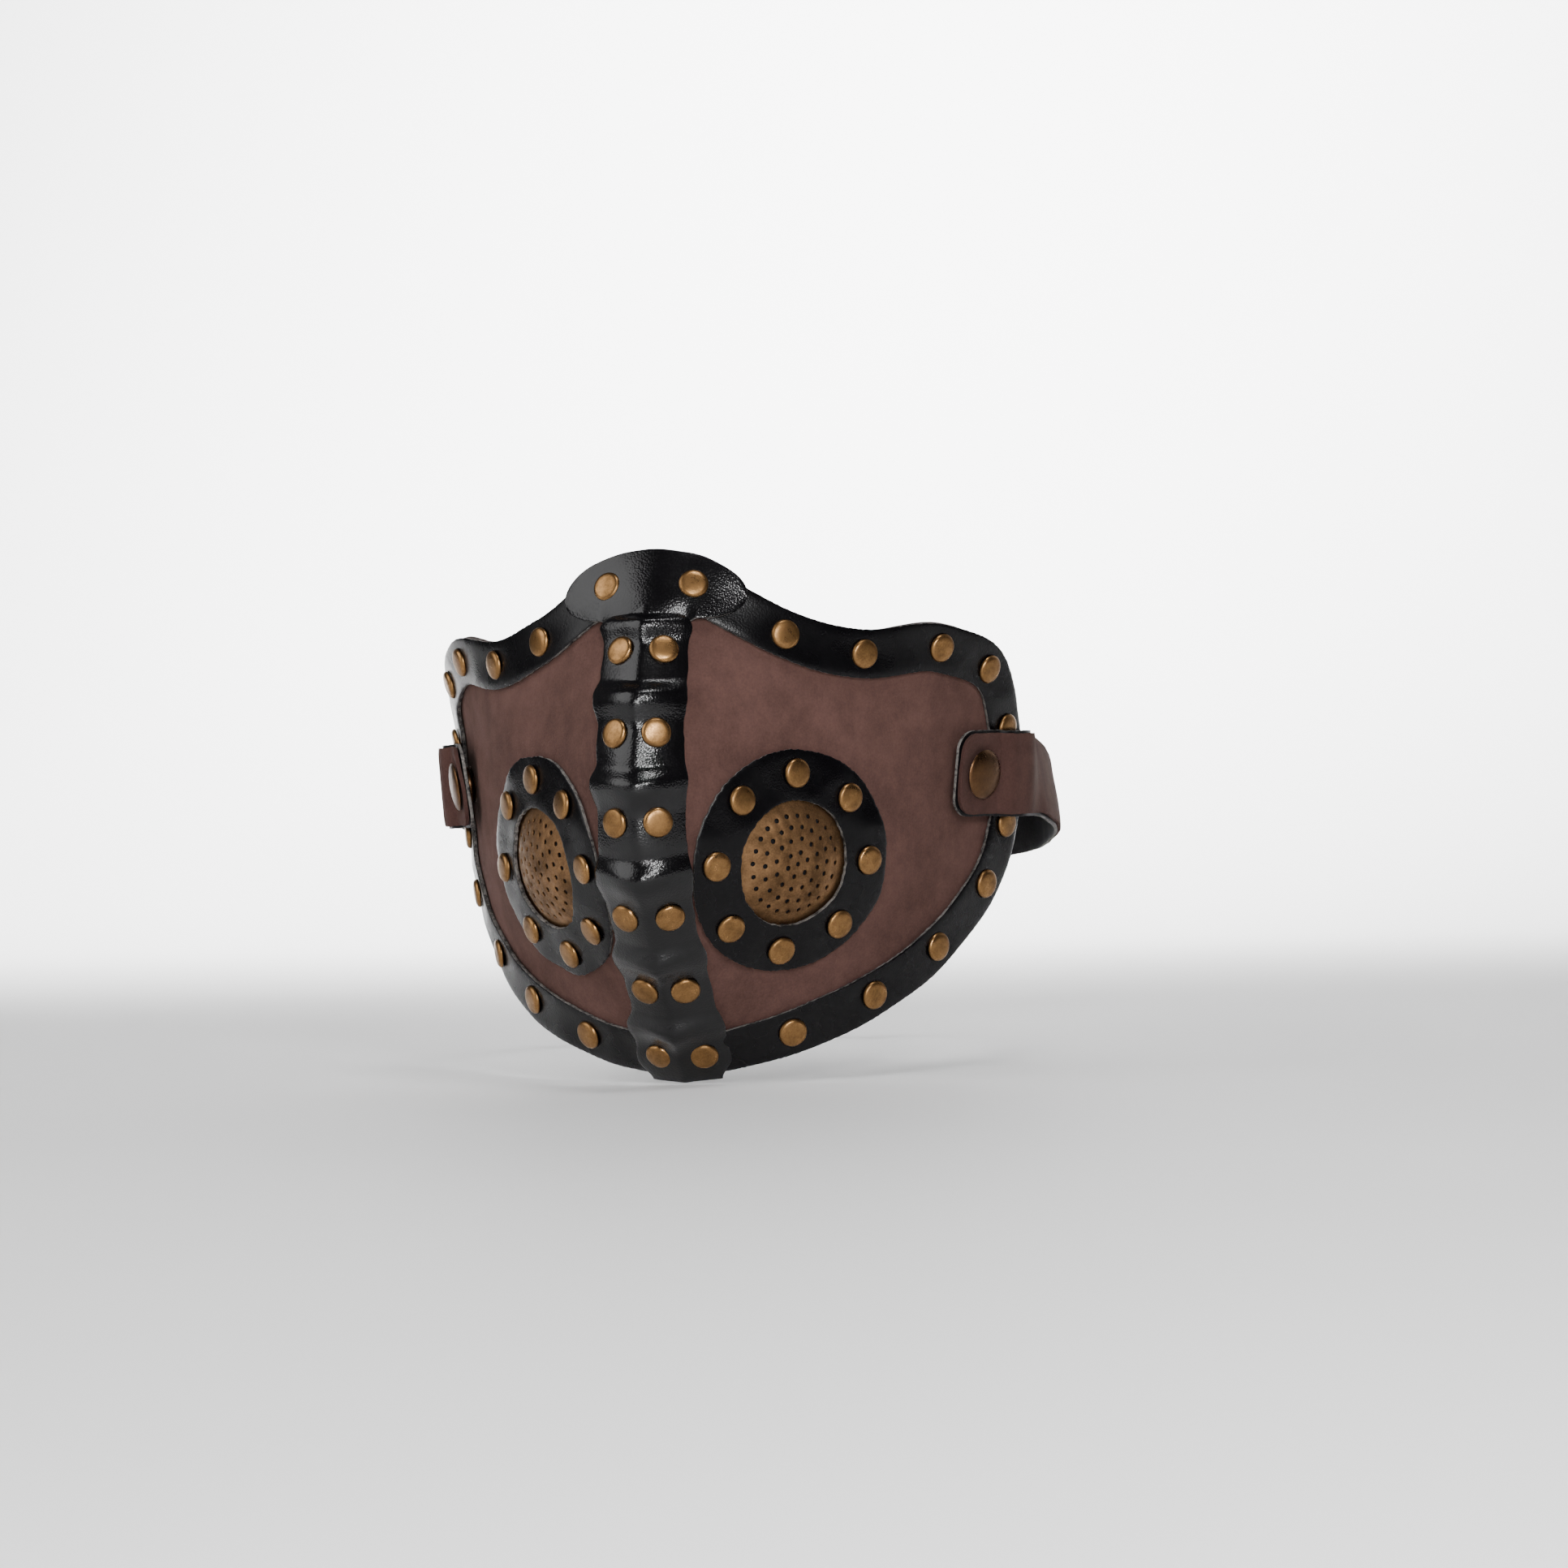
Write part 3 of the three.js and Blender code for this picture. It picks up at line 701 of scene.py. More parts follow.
def leather_grain():
    """Fine pebbled grain of leatherette over soft dents, with a few worn spots."""
    def build(tree, given):
        place = add_node(tree, "TexCoord").outputs["Object"]
        inputs = {"Vector": place, "Scale": given["Cells"], "Smoothness": 0.4}
        cells = add_node(tree, "TexVoronoi", inputs, feature="SMOOTH_F1").outputs["Distance"]
        pebble = spread(tree, cells, 0.1, 0.75, 1.0, 0.0)
        dents = noise(tree, 170, 2, 0.4)
        height = calculate(tree, "ADD", pebble, calculate(tree, "MULTIPLY", dents, 0.7))
        worn = spread(tree, noise(tree, 60, 3, 0.6), 0.5, 0.75)
        return height, worn, dents
    return group("Leather grain", [("Cells", 2100.0)], ["Height", "Worn", "Dents"], build)


def cut_fibres():
    """Felted fibres of a cut edge: bright tufts between dark gaps."""
    def build(tree, given):
        tufts = noise(tree, 1500, 3, 0.7)
        lumps = noise(tree, 420, 2, 0.6)
        height = calculate(tree, "ADD", tufts, lumps)
        bare = calculate(tree, "ADD", height, given["Fullness"])
        return spread(tree, bare, 0.85, 1.25), height
    return group("Cut fibres", [("Fullness", 0.0)], ["Tufts", "Height"], build)


def tarnish():
    """Dark tarnish patches, fine scratches and small dents of old brass."""
    def build(tree, given):
        patches = noise(tree, given["Scale"], 5, 0.62)
        specks = noise(tree, 2400, 2, 0.6)
        scratches = noise(tree, 900, 2, 0.5, (1.0, 0.12, 0.3))
        spotted = calculate(tree, "ADD", patches, calculate(tree, "MULTIPLY", specks, 0.35))
        height = calculate(tree, "ADD", calculate(tree, "MULTIPLY", specks, 0.5), scratches)
        return spread(tree, spotted, 0.5, 0.85), height
    return group("Tarnish", [("Scale", 260.0)], ["Dark", "Height"], build)


def material(name, build, **uniform):
    """A Principled material. The build function gives the sockets that change over the surface."""
    if name in bpy.data.materials:
        return bpy.data.materials[name]
    made = bpy.data.materials.new(name)
    made.use_nodes = True
    tree = made.node_tree
    tree.nodes.clear()
    shader = add_node(tree, "BsdfPrincipled", {k.replace("_", " "): v for k, v in uniform.items()})
    add_node(tree, "OutputMaterial", {"Surface": shader.outputs[0]})
    for label, socket in build(tree).items():
        tree.links.new(socket, shader.inputs[label])
    return made


def surface(tone, rough, normal):
    """The sockets of one surface: its colour, its roughness and its bumps."""
    return {"Base Color": tone, "Roughness": rough, "Normal": normal}


def bump(tree, height, strength, distance):
    inputs = {"Height": height, "Strength": strength, "Distance": distance * MM}
    return add_node(tree, "Bump", inputs).outputs[0]


def suede_material(name, colour, clouds=0.45):
    def build(tree):
        nap = use_group(tree, suede_nap(), Clouds=clouds, Brush=0.3, Fibres=0.3)
        tone = blended(tree, nap["Shade"], shade(colour, 0.66), shade(colour, 1.3))
        rough = spread(tree, nap["Shade"], 0.0, 1.0, 0.96, 0.84)
        return surface(tone, rough, bump(tree, nap["Height"], 0.35, 0.18))
    sheen = {"Sheen_Weight": 0.04, "Sheen_Roughness": 0.5, "Sheen_Tint": (0.85, 0.7, 0.62, 1)}
    return material(name, build, Specular_IOR_Level=0.05, **sheen)


def leatherette_material(name, roughness=0.3, grain=0.25, shine=0.22):
    def build(tree):
        skin = use_group(tree, leather_grain(), Cells=2100)
        colour = finishes().leatherette
        tone = blended(tree, skin["Worn"], shade(colour, 0.9), shade(colour, 1.5))
        rough = spread(tree, skin["Dents"], 0.3, 0.7, roughness - 0.02, roughness + 0.03)
        return surface(tone, rough, bump(tree, skin["Height"], grain, 0.09))
    return material(name, build, Specular_IOR_Level=shine)


def fibre_material():
    def build(tree):
        edge = use_group(tree, cut_fibres(), Fullness=0.1)
        black = shade(finishes().leatherette, 1.0)
        tone = blended(tree, edge["Tufts"], black, shade(finishes().cut_fibre, 1.0))
        rough = spread(tree, edge["Tufts"], 0, 1, 0.6, 0.95)
        return surface(tone, rough, bump(tree, edge["Height"], 0.8, 0.3))
    return material("Cut leatherette edge", build)


def brass_material(name, colour, dull=0.32, scale=260.0, dark_share=0.55):
    def build(tree):
        old = use_group(tree, tarnish(), Scale=scale)
        tone = blended(tree, old["Dark"], shade(colour, 1.05), shade(colour, dark_share))
        rough = spread(tree, old["Dark"], 0, 1, dull, dull + 0.2)
        return surface(tone, rough, bump(tree, old["Height"], 0.2, 0.03))
    return material(name, build, Metallic=1.0)


def weave_material(name, colour, scale=1400):
    """A knitted or woven backing: small ribs over a mottled ground."""
    def build(tree):
        place = add_node(tree, "TexCoord").outputs["Object"]
        waves = [
            add_node(
                tree, "TexWave", {"Vector": place, "Scale": scale, "Distortion": 1.5},
                bands_direction=direction,
            ).outputs["Fac"]
            for direction in ("X", "Z")
        ]
        ribs = calculate(tree, "MULTIPLY", waves[0], waves[1])
        mottle = noise(tree, 120, 4, 0.6)
        light = calculate(tree, "ADD", ribs, calculate(tree, "MULTIPLY", mottle, 0.6))
        tone = blended(tree, spread(tree, light, 0, 1.2), shade(colour, 0.6), shade(colour, 1.25))
        rough = spread(tree, mottle, 0.3, 0.7, 0.85, 0.98)
        return surface(tone, rough, bump(tree, ribs, 0.5, 0.15))
    return material(name, build, Specular_IOR_Level=0.25)


def panel_suede():
    return suede_material("Panel suede", finishes().suede)


# Painted shade: the panels' suede, painted darker on the straps.
def shaded_strap_suede():
    return suede_material("Strap suede", finishes().shaded_strap_suede, clouds=0.3)


def suede_back():
    return weave_material("Suede back", finishes().suede_back)


def trim_leatherette():
    return leatherette_material("Trim leatherette", roughness=0.27, grain=0.2, shine=0.22)


def patch_leatherette():
    return leatherette_material("Patch leatherette", roughness=0.27, grain=0.2, shine=0.2)


def strip_leatherette():
    return leatherette_material("Strip leatherette", roughness=0.2, grain=0.36, shine=0.42)


def lining_leatherette():
    return leatherette_material("Lining leatherette", roughness=0.5, grain=0.3)


def rivet_brass():
    return brass_material("Rivet brass", finishes().rivet_brass, 0.25)


def grille_brass():
    return brass_material("Grille brass", finishes().grille_brass, 0.42, 160.0, 0.4)


def snap_brass():
    return brass_material("Snap brass", finishes().snap_brass, 0.24, 150.0, 0.7)


def tape_weave():
    return weave_material("Hook-and-loop tape", finishes().tape, 900)


# ------------------------------------------------------------------ pieces

def outer(extra=0.0):
    """Height of the outer face of the trims, the strip and the patches."""
    return mm.layer_gap + mm.trim_thickness + extra


class MASK_OT_stage(bpy.types.Operator):
    """Adds the camera, the lights and the pale floor with its raised back"""

    bl_idname = "mask.stage"
    bl_label = "Stage"

    def execute(self, context):
        stage = context.scene.mask_stage
        self.add_camera(stage)
        self.add_floor(stage)
        self.add_lights()
        return {"FINISHED"}

    def add_camera(self, stage):
        deselect()
        away = Vector((
            math.sin(stage.yaw) * math.cos(stage.pitch),
            -math.cos(stage.yaw) * math.cos(stage.pitch),
            math.sin(stage.pitch),
        ))
        level = Vector((math.cos(stage.yaw), math.sin(stage.yaw), 0))
        upright = away.cross(level)
        right = level * math.cos(stage.roll) + upright * math.sin(stage.roll)
        up = upright * math.cos(stage.roll) - level * math.sin(stage.roll)
        target = right * stage.aim_right + up * stage.aim_up
        bpy.ops.object.camera_add()
        camera = bpy.context.object
        camera.name = "camera"
        turn = Matrix((right, up, away)).transposed().to_4x4()
        camera.matrix_world = Matrix.Translation(target + away * stage.distance) @ turn
        camera.data.lens = stage.lens
        camera.data.sensor_width = 36
        bpy.context.scene.camera = camera

    def add_floor(self, stage):
        """The floor is a plane whose back edge is raised into a wall, with a wide bend."""
        deselect()
        half = stage.floor_size
        bpy.ops.mesh.primitive_plane_add(size=2 * half)
        floor = bpy.context.object
        floor.name = "stage_floor"
        edit(floor, "EDGE")
        bpy.ops.mesh.select_all(action="DESELECT")
        bpy.ops.object.mode_set(mode="OBJECT")
        for edge in floor.data.edges:
            edge.select = all(floor.data.vertices[v].co.y > 0 for v in edge.vertices)
        bpy.ops.object.mode_set(mode="EDIT")
        bpy.ops.mesh.extrude_edges_move(TRANSFORM_OT_translate={"value": (0, 0, 2 * half)})
        bpy.ops.object.mode_set(mode="OBJECT")
        for edge in floor.data.edges:
            low = all(abs(floor.data.vertices[v].co.z) < 1e-6 for v in edge.vertices)
            back = all(floor.data.vertices[v].co.y > 0 for v in edge.vertices)
            edge.select = low and back
        bpy.ops.object.mode_set(mode="EDIT")
        bpy.ops.mesh.bevel(offset=0.5 * half, segments=24)
        deselect()
        smooth(floor, 30)
        height = cad_box[0].z - stage.floor_gap
        floor.data.transform(Matrix.Translation((0, 0, height)))

        def build(tree):
            cloud = noise(tree, 3, 3, 0.5)
            colour = bpy.context.scene.mask_colours.floor
            tone = blended(tree, cloud, shade(colour, 0.97), shade(colour, 1.0))
            return {"Base Color": tone, "Roughness": spread(tree, cloud, 0.3, 0.7, 0.55, 0.65)}
        dress(floor, material("Studio floor", build, Specular_IOR_Level=0.25))

    def add_lights(self):
        lights = [
            ("left_light", (-1.15, -0.8, 0.75), 1.6, 17),
            ("right_light", (0.55, -1.0, 0.42), 0.2, 6.5),
            ("low_light", (0.3, -1.25, 0.18), 0.25, 6),
            ("top_light", (0.35, -0.35, 1.3), 0.35, 6),
            ("rear_light", (0.8, 0.7, 0.5), 0.8, 1),
            ("wall_light", (-0.2, 0.6, 1.0), 0.8, 45),
        ]
        for name, place, size, watts in lights:
            deselect()
            bpy.ops.object.light_add(type="AREA", location=place)
            light = bpy.context.object
            light.name = name
            light.data.shape = "DISK"
            light.data.size = size
            light.data.energy = watts
            light.rotation_mode = "QUATERNION"
            towards = Vector((0, 0, 0))
            if name == "wall_light":
                towards = Vector((-0.35, 1.5, 0.15))
                light.data.spread = math.radians(110)
            light.rotation_quaternion = (towards - Vector(place)).to_track_quat("-Z", "Y")
        world = bpy.data.worlds.new("studio")
        bpy.context.scene.world = world
        world.use_nodes = True
        world.node_tree.nodes["Background"].inputs[0].default_value = (0.9, 0.92, 0.95, 1)
        world.node_tree.nodes["Background"].inputs[1].default_value = 0.08


class MASK_OT_cheek_panels(bpy.types.Operator):
    """Bends the two suede cheek panels, with an opening for each grille"""

    bl_idname = "mask.cheek_panels"
    bl_label = "Cheek panels"

    def execute(self, context):
        for name, side in SIDES:
            self.make(name, side)
        return {"FINISHED"}

    def make(self, name, side):
        panel = grid(f"{name}_suede_panel", 84, 132)
        inset = 0.4
        reach_of_edge = mm.trim_width / 2 - inset
        shares = np.linspace(0, 1, 800)
        edge_x = on_trim(shares, np.full(800, reach_of_edge))[0]
        past_seam = shares[edge_x > mm.seam_gap + 1.0]
        first, last = past_seam.min(), past_seam.max()
        rivets = trim_rivets() + strip_rivets() + vent_rivets()

        def place_of(across, along):
            x, z = on_trim(lerp(last, first, along), np.full(len(along), reach_of_edge))
            seam = lerp(CHIN, BRIDGE, along) * tall()
            reach = across**1.3
            x = lerp(mm.seam_gap / 2, x, reach)
            z = lerp(seam, z, reach)
            near = nearest(x, z, rivets)
            height = 0.3 * unevenness(x, z, 26, 11 + side) * smoothstep(across, 0, 0.2)
            height = height * (1 - hump(near, 7)) - 0.25 * hump(near, 4.5)
            return on_face(x, z, height)
        bend(panel, place_of, side)
        self.open_vent(panel, side)
        finish_sheet(panel, mm.panel_thickness, (panel_suede(), suede_back(), suede_back()))
        hand_over(panel, "mask", "suede_cheek", f"{name}_cheek_panel")

    def open_vent(self, panel, side):
        """Takes out the faces in front of the grille, and rounds the opening."""
        middle = settle(on_face(*vent_centre()), side)
        radius = (mm.grille_radius + 0.3) * MM
        edit(panel, "FACE")
        bpy.ops.mesh.select_all(action="DESELECT")
        bpy.ops.object.mode_set(mode="OBJECT")
        for face in panel.data.polygons:
            face.select = (face.center - Vector(middle)).length < radius
        bpy.ops.object.mode_set(mode="EDIT")
        bpy.ops.mesh.delete(type="FACE")
        deselect()
        uses = {}
        for face in panel.data.polygons:
            for key in face.edge_keys:
                uses[key] = uses.get(key, 0) + 1
        rim = sorted({v for key, count in uses.items() if count == 1 for v in key})
        places = corners(panel)
        for v in rim:
            away = places[v] - middle
            gap = np.linalg.norm(away)
            if gap < radius * 1.5:
                places[v] = middle + away * (radius / gap)
        move_corners(panel, places)


class MASK_OT_edge_trims(bpy.types.Operator):
    """Bends the two edge trims, with wavy cut edges that are pressed down at the rivets"""

    bl_idname = "mask.edge_trims"
    bl_label = "Edge trims"

    def execute(self, context):
        for name, side in SIDES:
            self.make(name, side)
        return {"FINISHED"}

    def make(self, name, side):
        trim = grid(f"{name}_trim_band", 24, 460)
        rivets = trim_rivets()
        shares = np.linspace(0, 1, 800)
        x, z = on_trim(shares, np.full(800, mm.trim_width / 2))
        upper, lower = shares[z > 0], shares[z <= 0]
        first = upper[x[z > 0] > 5.5].min()
        last = lower[x[z <= 0] > 1.2].max()

        def place_of(across, along):
            share = lerp(first, last, along)
            length_along = along * TRIM_RUN
            cut = across - 0.5
            jag = 0.2 * unevenness(length_along, cut * 4, 26, 31 + side)
            jag = jag + 0.06 * unevenness(length_along, cut * 30, 1.7, 33 + side)
            x, z = on_trim(share, cut * mm.trim_width + jag * np.abs(2 * cut) ** 3)
            near = nearest(x, z, rivets)
            lift = 0.14 * unevenness(length_along, cut * 14, 18, 35 + side) + 0.2
            height = outer() + lift * (1 - hump(near, 7)) - 0.22 * hump(near, 4.2)
            height = height - 0.35 * np.abs(2 * cut) ** 6
            return on_face(x, z, height)
        bend(trim, place_of, side)
        finish_sheet(trim, leather_gauge(), layers(trim_leatherette()))
        hand_over(trim, "mask", "black_leatherette", f"{name}_edge_trim")


def strip_half_width(z):
    narrow = smoothstep(z, 33 * tall(), 38 * tall())
    return mm.strip_width / 2 - mm.strip_taper * narrow


class MASK_OT_centre_strip(bpy.types.Operator):
    """Bends the centre strip over the nose ridge, with a pleat above each pair of rivets"""

    bl_idname = "mask.centre_strip"
    bl_label = "Centre strip"

    def execute(self, context):
        strip = grid("pleated_strip", 56, 420)
        rivets = strip_rivets()
        both_sides = rivets + [(-x, z) for x, z in rivets]
        rows = sorted(z for _, z in rivets) + [PLEATS_TOP * tall()]

        def pleat(z):
            """Rises to 1 above each row of rivets, and sinks to 0 before the next row."""
            rise = np.zeros_like(z)
            for low, high in zip(rows[:-1], rows[1:]):
                share = (z - low) / (high - low)
                inside = (share >= 0) & (share < 1)
                value = smoothstep(share, 0.02, 0.36) * (1 - smoothstep(share, 0.4, 0.62))
                rise = np.where(inside, value, rise)
            return rise

        def place_of(across, along):
            z = lerp(CHIN, STRIP_TOP, along) * tall()
            cut = 2 * (across - 0.5)
            rise = pleat(z - 1.5 * np.abs(cut))
            half = strip_half_width(z) + 0.9 * rise * np.where(cut < 0, 1.5, 0.4)
            half = half + 1.0 * (1 - smoothstep(z, -66 * tall(), -48 * tall())) + 0.1
            at_end = 1 - smoothstep(z, CHIN * tall(), (CHIN + 5.5) * tall())
            half = half - at_end * (1.6 + 1.4 * at_end)
            half = half + 0.2 * unevenness(z, cut * 30, 11, 41)
            half = half + 0.07 * unevenness(z, cut * 90, 1.8, 42)
            side = cut * half
            x, z = walk(np.zeros_like(z), z, 0, side)
            near = nearest(x, z, both_sides)
            rise = rise * (1 - 0.8 * hump(near, 4.8))
            crest = 1 / np.cosh(side / 3.4)
            height = outer() + mm.strip_bulge * crest * (0.55 + 0.6 * rise)
            height = height + 1.35 * rise * (1 - 0.45 * cut**2) + 0.2 * hump(side, 1.2)
            height = height - 0.2 * hump(near, 4.0)
            height = height + 0.08 * unevenness(x * 1.6, z, 14, 43) * (1 - hump(near, 5))
            height = height + 0.9 * (1 - smoothstep(z, -70 * tall(), -62 * tall()))
            return on_face(x, z, height - 0.3 * np.abs(cut) ** 8)
        bend(strip, place_of)
        finish_sheet(strip, leather_gauge(), layers(strip_leatherette()), degrees=60)
        hand_over(strip, "mask", "black_leatherette", "centre_strip")
        return {"FINISHED"}


class MASK_OT_nose_tab(bpy.types.Operator):
    """Bends the nose tab, whose lower edge runs into the strip below it"""

    bl_idname = "mask.nose_tab"
    bl_label = "Nose tab"

    def execute(self, context):
        tab = grid("crescent_tab", 120, 36)
        rivet = foot("left_nose_rivet")
        both = [rivet, (-rivet[0], rivet[1])]

        def place_of(across, along):
            side = np.sin((across - 0.5) * math.pi)
            round_end = 0.03 + 0.97 * np.sqrt(np.maximum(0, 1 - np.abs(side) ** 2.5))
            rise = (along - 0.5) * mm.tab_height * round_end
            middle = TAB_MIDDLE * tall() - 2.9 * np.abs(side) ** 1.6 * tall()
            lower = np.maximum(0, 0.5 - along) * 2
            over_strip = 1 - smoothstep(np.abs(side) * mm.tab_length / 2, 7.5, 11.5)
            rise = rise - 1.6 * lower * over_strip
            rise = rise + 0.1 * unevenness(side * 21, along * 8, 9, 51)
            x, z = walk(np.zeros_like(side), middle + rise, 0, side * mm.tab_length / 2)
            height = outer(1.15) + 0.35 * (1 - side**2) - 0.2 * np.abs(2 * along - 1) ** 3
            height = height - 0.25 * hump(nearest(x, z, both), 4.2)
            height = height - 2.2 * lower**2.5 * over_strip
            height = height + 0.08 * unevenness(x, z, 14, 52)
            return on_face(x, z, height)
        bend(tab, place_of)
        finish_sheet(tab, leather_gauge(), layers(strip_leatherette()))
        hand_over(tab, "mask", "black_leatherette", "nose_tab")
        return {"FINISHED"}


def round_grid(name, inner, outer_radius, bands, segments, fill="NOTHING"):
    """A flat ring, or a disc if it is filled: a circle that is grown outwards band by band."""
    deselect()
    bpy.ops.mesh.primitive_circle_add(vertices=segments, radius=inner, fill_type=fill)
    ring = bpy.context.object
    ring.name = ring.data.name = name
    edit(ring, "EDGE")
    bpy.ops.mesh.select_all(action="DESELECT")
    bpy.ops.mesh.select_non_manifold()
    radius = inner
    for band in range(1, bands + 1):
        wider = lerp(inner, outer_radius, band / bands)
        bpy.ops.mesh.extrude_edges_move()
        bpy.ops.transform.resize(value=(wider / radius,) * 2 + (1,), center_override=(0, 0, 0))
        radius = wider
    deselect()
    return ring


def dome(radius):
    """Share of the grille's dome at each distance from the vent's middle."""
    return np.maximum(0, 1 - (radius / mm.vent_radius) ** 2) ** 0.75


def bend_round(piece, place_of, side):
    """Bends a round piece: the function gives the place of (angle, radius in millimetres)."""
    flat = corners(piece)
    angle = np.arctan2(flat[:, 1], flat[:, 0])
    move_corners(piece, settle(place_of(angle, np.hypot(flat[:, 0], flat[:, 1])), side))


class MASK_OT_vent_patches(bpy.types.Operator):
    """Bends the round leatherette patch of each vent, cut by hand and pressed at the rivets"""

    bl_idname = "mask.vent_patches"
    bl_label = "Vent patches"

    def execute(self, context):
        for name, side in SIDES:
            patch = round_grid(f"{name}_round_patch", mm.vent_radius, mm.patch_radius, 22, 256)
            rivets = vent_rivets()

            def place_of(angle, radius):
                share = (radius - mm.vent_radius) / (mm.patch_radius - mm.vent_radius)
                x0, z0 = radius * np.cos(angle), radius * np.sin(angle)
                jag = 0.22 * unevenness(x0, z0, 18, 61 + side)
                jag = jag + 0.12 * unevenness(x0, z0, 1.9, 63 + side)
                x, z = walk(*vent_centre(), angle, radius + jag * np.abs(2 * share - 1) ** 3)
                near = nearest(x, z, rivets)
                height = outer() + 0.3 * unevenness(x, z, 13, 65 + side) * (1 - hump(near, 6))
                height = height + 0.1 * (1 - smoothstep(share, 0, 0.4)) - 0.25 * hump(near, 4.2)
                return on_face(x, z, height - 0.3 * share**8)
            bend_round(patch, place_of, side)
            finish_sheet(patch, leather_gauge(), layers(patch_leatherette()))
            hand_over(patch, "mask", "black_leatherette", f"{name}_vent_patch")
        return {"FINISHED"}


class MASK_OT_vent_grilles(bpy.types.Operator):
    """Fills a disc round its circles of holes, domes it and gives it its thickness"""

    bl_idname = "mask.vent_grilles"
    bl_label = "Vent grilles"

    def execute(self, context):
        for name, side in SIDES:
            grille = self.perforated_disc(f"{name}_domed_grille", side)

            def place_of(angle, radius):
                x, z = walk(*vent_centre(), angle, radius)
                return on_face(x, z, mm.grille_dome * dome(radius))
            bend_round(grille, place_of, side)
            finish_sheet(grille, mm.grille_thickness, [grille_brass()], 0.08, 35)
            hand_over(grille, "mask", "grille_brass", f"{name}_vent_grille")
        return {"FINISHED"}

    def perforated_disc(self, name, side):
        draw = np.random.default_rng(71 + side)
        deselect()
        bpy.ops.mesh.primitive_circle_add(vertices=96, radius=mm.vent_radius)
        disc = bpy.context.object
        disc.name = disc.data.name = name
        edit(disc, "EDGE")
        for ring in range(bpy.context.scene.mask_shape.hole_rings + 1):
            count = max(1, 6 * ring)
            start = draw.uniform(0, math.tau)
            for i in range(count):
                angle = start + math.tau * i / count
                slip = draw.normal(0, 0.09, 2)
                place = (
                    ring * mm.hole_pitch * math.cos(angle) + slip[0],
                    ring * mm.hole_pitch * math.sin(angle) + slip[1], 0,
                )
                size = mm.hole_radius * draw.uniform(0.92, 1.06)
                bpy.ops.mesh.primitive_circle_add(vertices=14, radius=size, location=place)
        bpy.ops.mesh.select_all(action="SELECT")
        bpy.ops.mesh.fill(use_beauty=True)
        bpy.ops.mesh.select_all(action="DESELECT")
        bpy.ops.object.mode_set(mode="OBJECT")
        for edge in disc.data.edges:
            ends = [disc.data.vertices[v].co.length for v in edge.vertices]
            edge.select = min(ends) > mm.vent_radius - 0.01
        bpy.ops.object.mode_set(mode="EDIT")
        flange = mm.grille_radius / mm.vent_radius
        bpy.ops.mesh.extrude_edges_move()
        bpy.ops.transform.resize(value=(flange, flange, 1), center_override=(0, 0, 0))
        bpy.ops.mesh.select_all(action="SELECT")
        bpy.ops.mesh.normals_make_consistent(inside=False)
        deselect()
        return disc


class MASK_OT_vent_gauzes(bpy.types.Operator):
    """Bends a thin black disc behind each grille as painted shade: it stands in for the shadow
    behind the holes, so that they look dark
    """

    bl_idname = "mask.vent_gauzes"
    bl_label = "Painted shade discs"

    def execute(self, context):
        for name, side in SIDES:
            painted_shade_disc = round_grid(f"{name}_painted_shade_disc", 0.5, mm.grille_radius - 0.6, 16, 96, "TRIFAN")

            def place_of(angle, radius):
                x, z = walk(*vent_centre(), angle, radius)
                under = mm.grille_thickness + 0.2 + 0.05 * unevenness(x, z, 5, 75 + side)
                return on_face(x, z, 0.9 * mm.grille_dome * dome(radius) - under)
            bend_round(painted_shade_disc, place_of, side)
            # Painted shade: this black disc darkens the grille's holes, where only shadow lies
            # behind them.
            finish_sheet(painted_shade_disc, 0.3, [tape_weave()], round_edge=0)
            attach(painted_shade_disc, "mask")
        return {"FINISHED"}


def rivet_profile(grip):
    """A domed cap on a shank, with a hollow, rolled head behind. Height 0 is under the cap."""
    cap, high = 1.03 * mm.rivet_radius, mm.rivet_cap_height
    shank, back = mm.shank_radius, mm.rivet_back_radius
    return [
        (0, -grip + 0.1), (0.45 * shank, -grip + 0.05), (0.7 * shank, -grip - 0.2),
        (0.8 * shank, -grip - 0.5), (1.1 * shank, -grip - 0.62), (0.62 * back, -grip - 0.6),
        (0.88 * back, -grip - 0.42), (back, -grip - 0.12), (0.97 * back, -grip),
        (shank, -grip), (shank, 0), (0.94 * cap, -0.02),
        (0.985 * cap, 0.06 * high), (cap, 0.2 * high), (0.985 * cap, 0.38 * high),
        (0.94 * cap, 0.6 * high), (0.86 * cap, 0.77 * high), (0.74 * cap, 0.88 * high),
        (0.55 * cap, 0.95 * high), (0.3 * cap, 0.988 * high), (0, high),
    ]


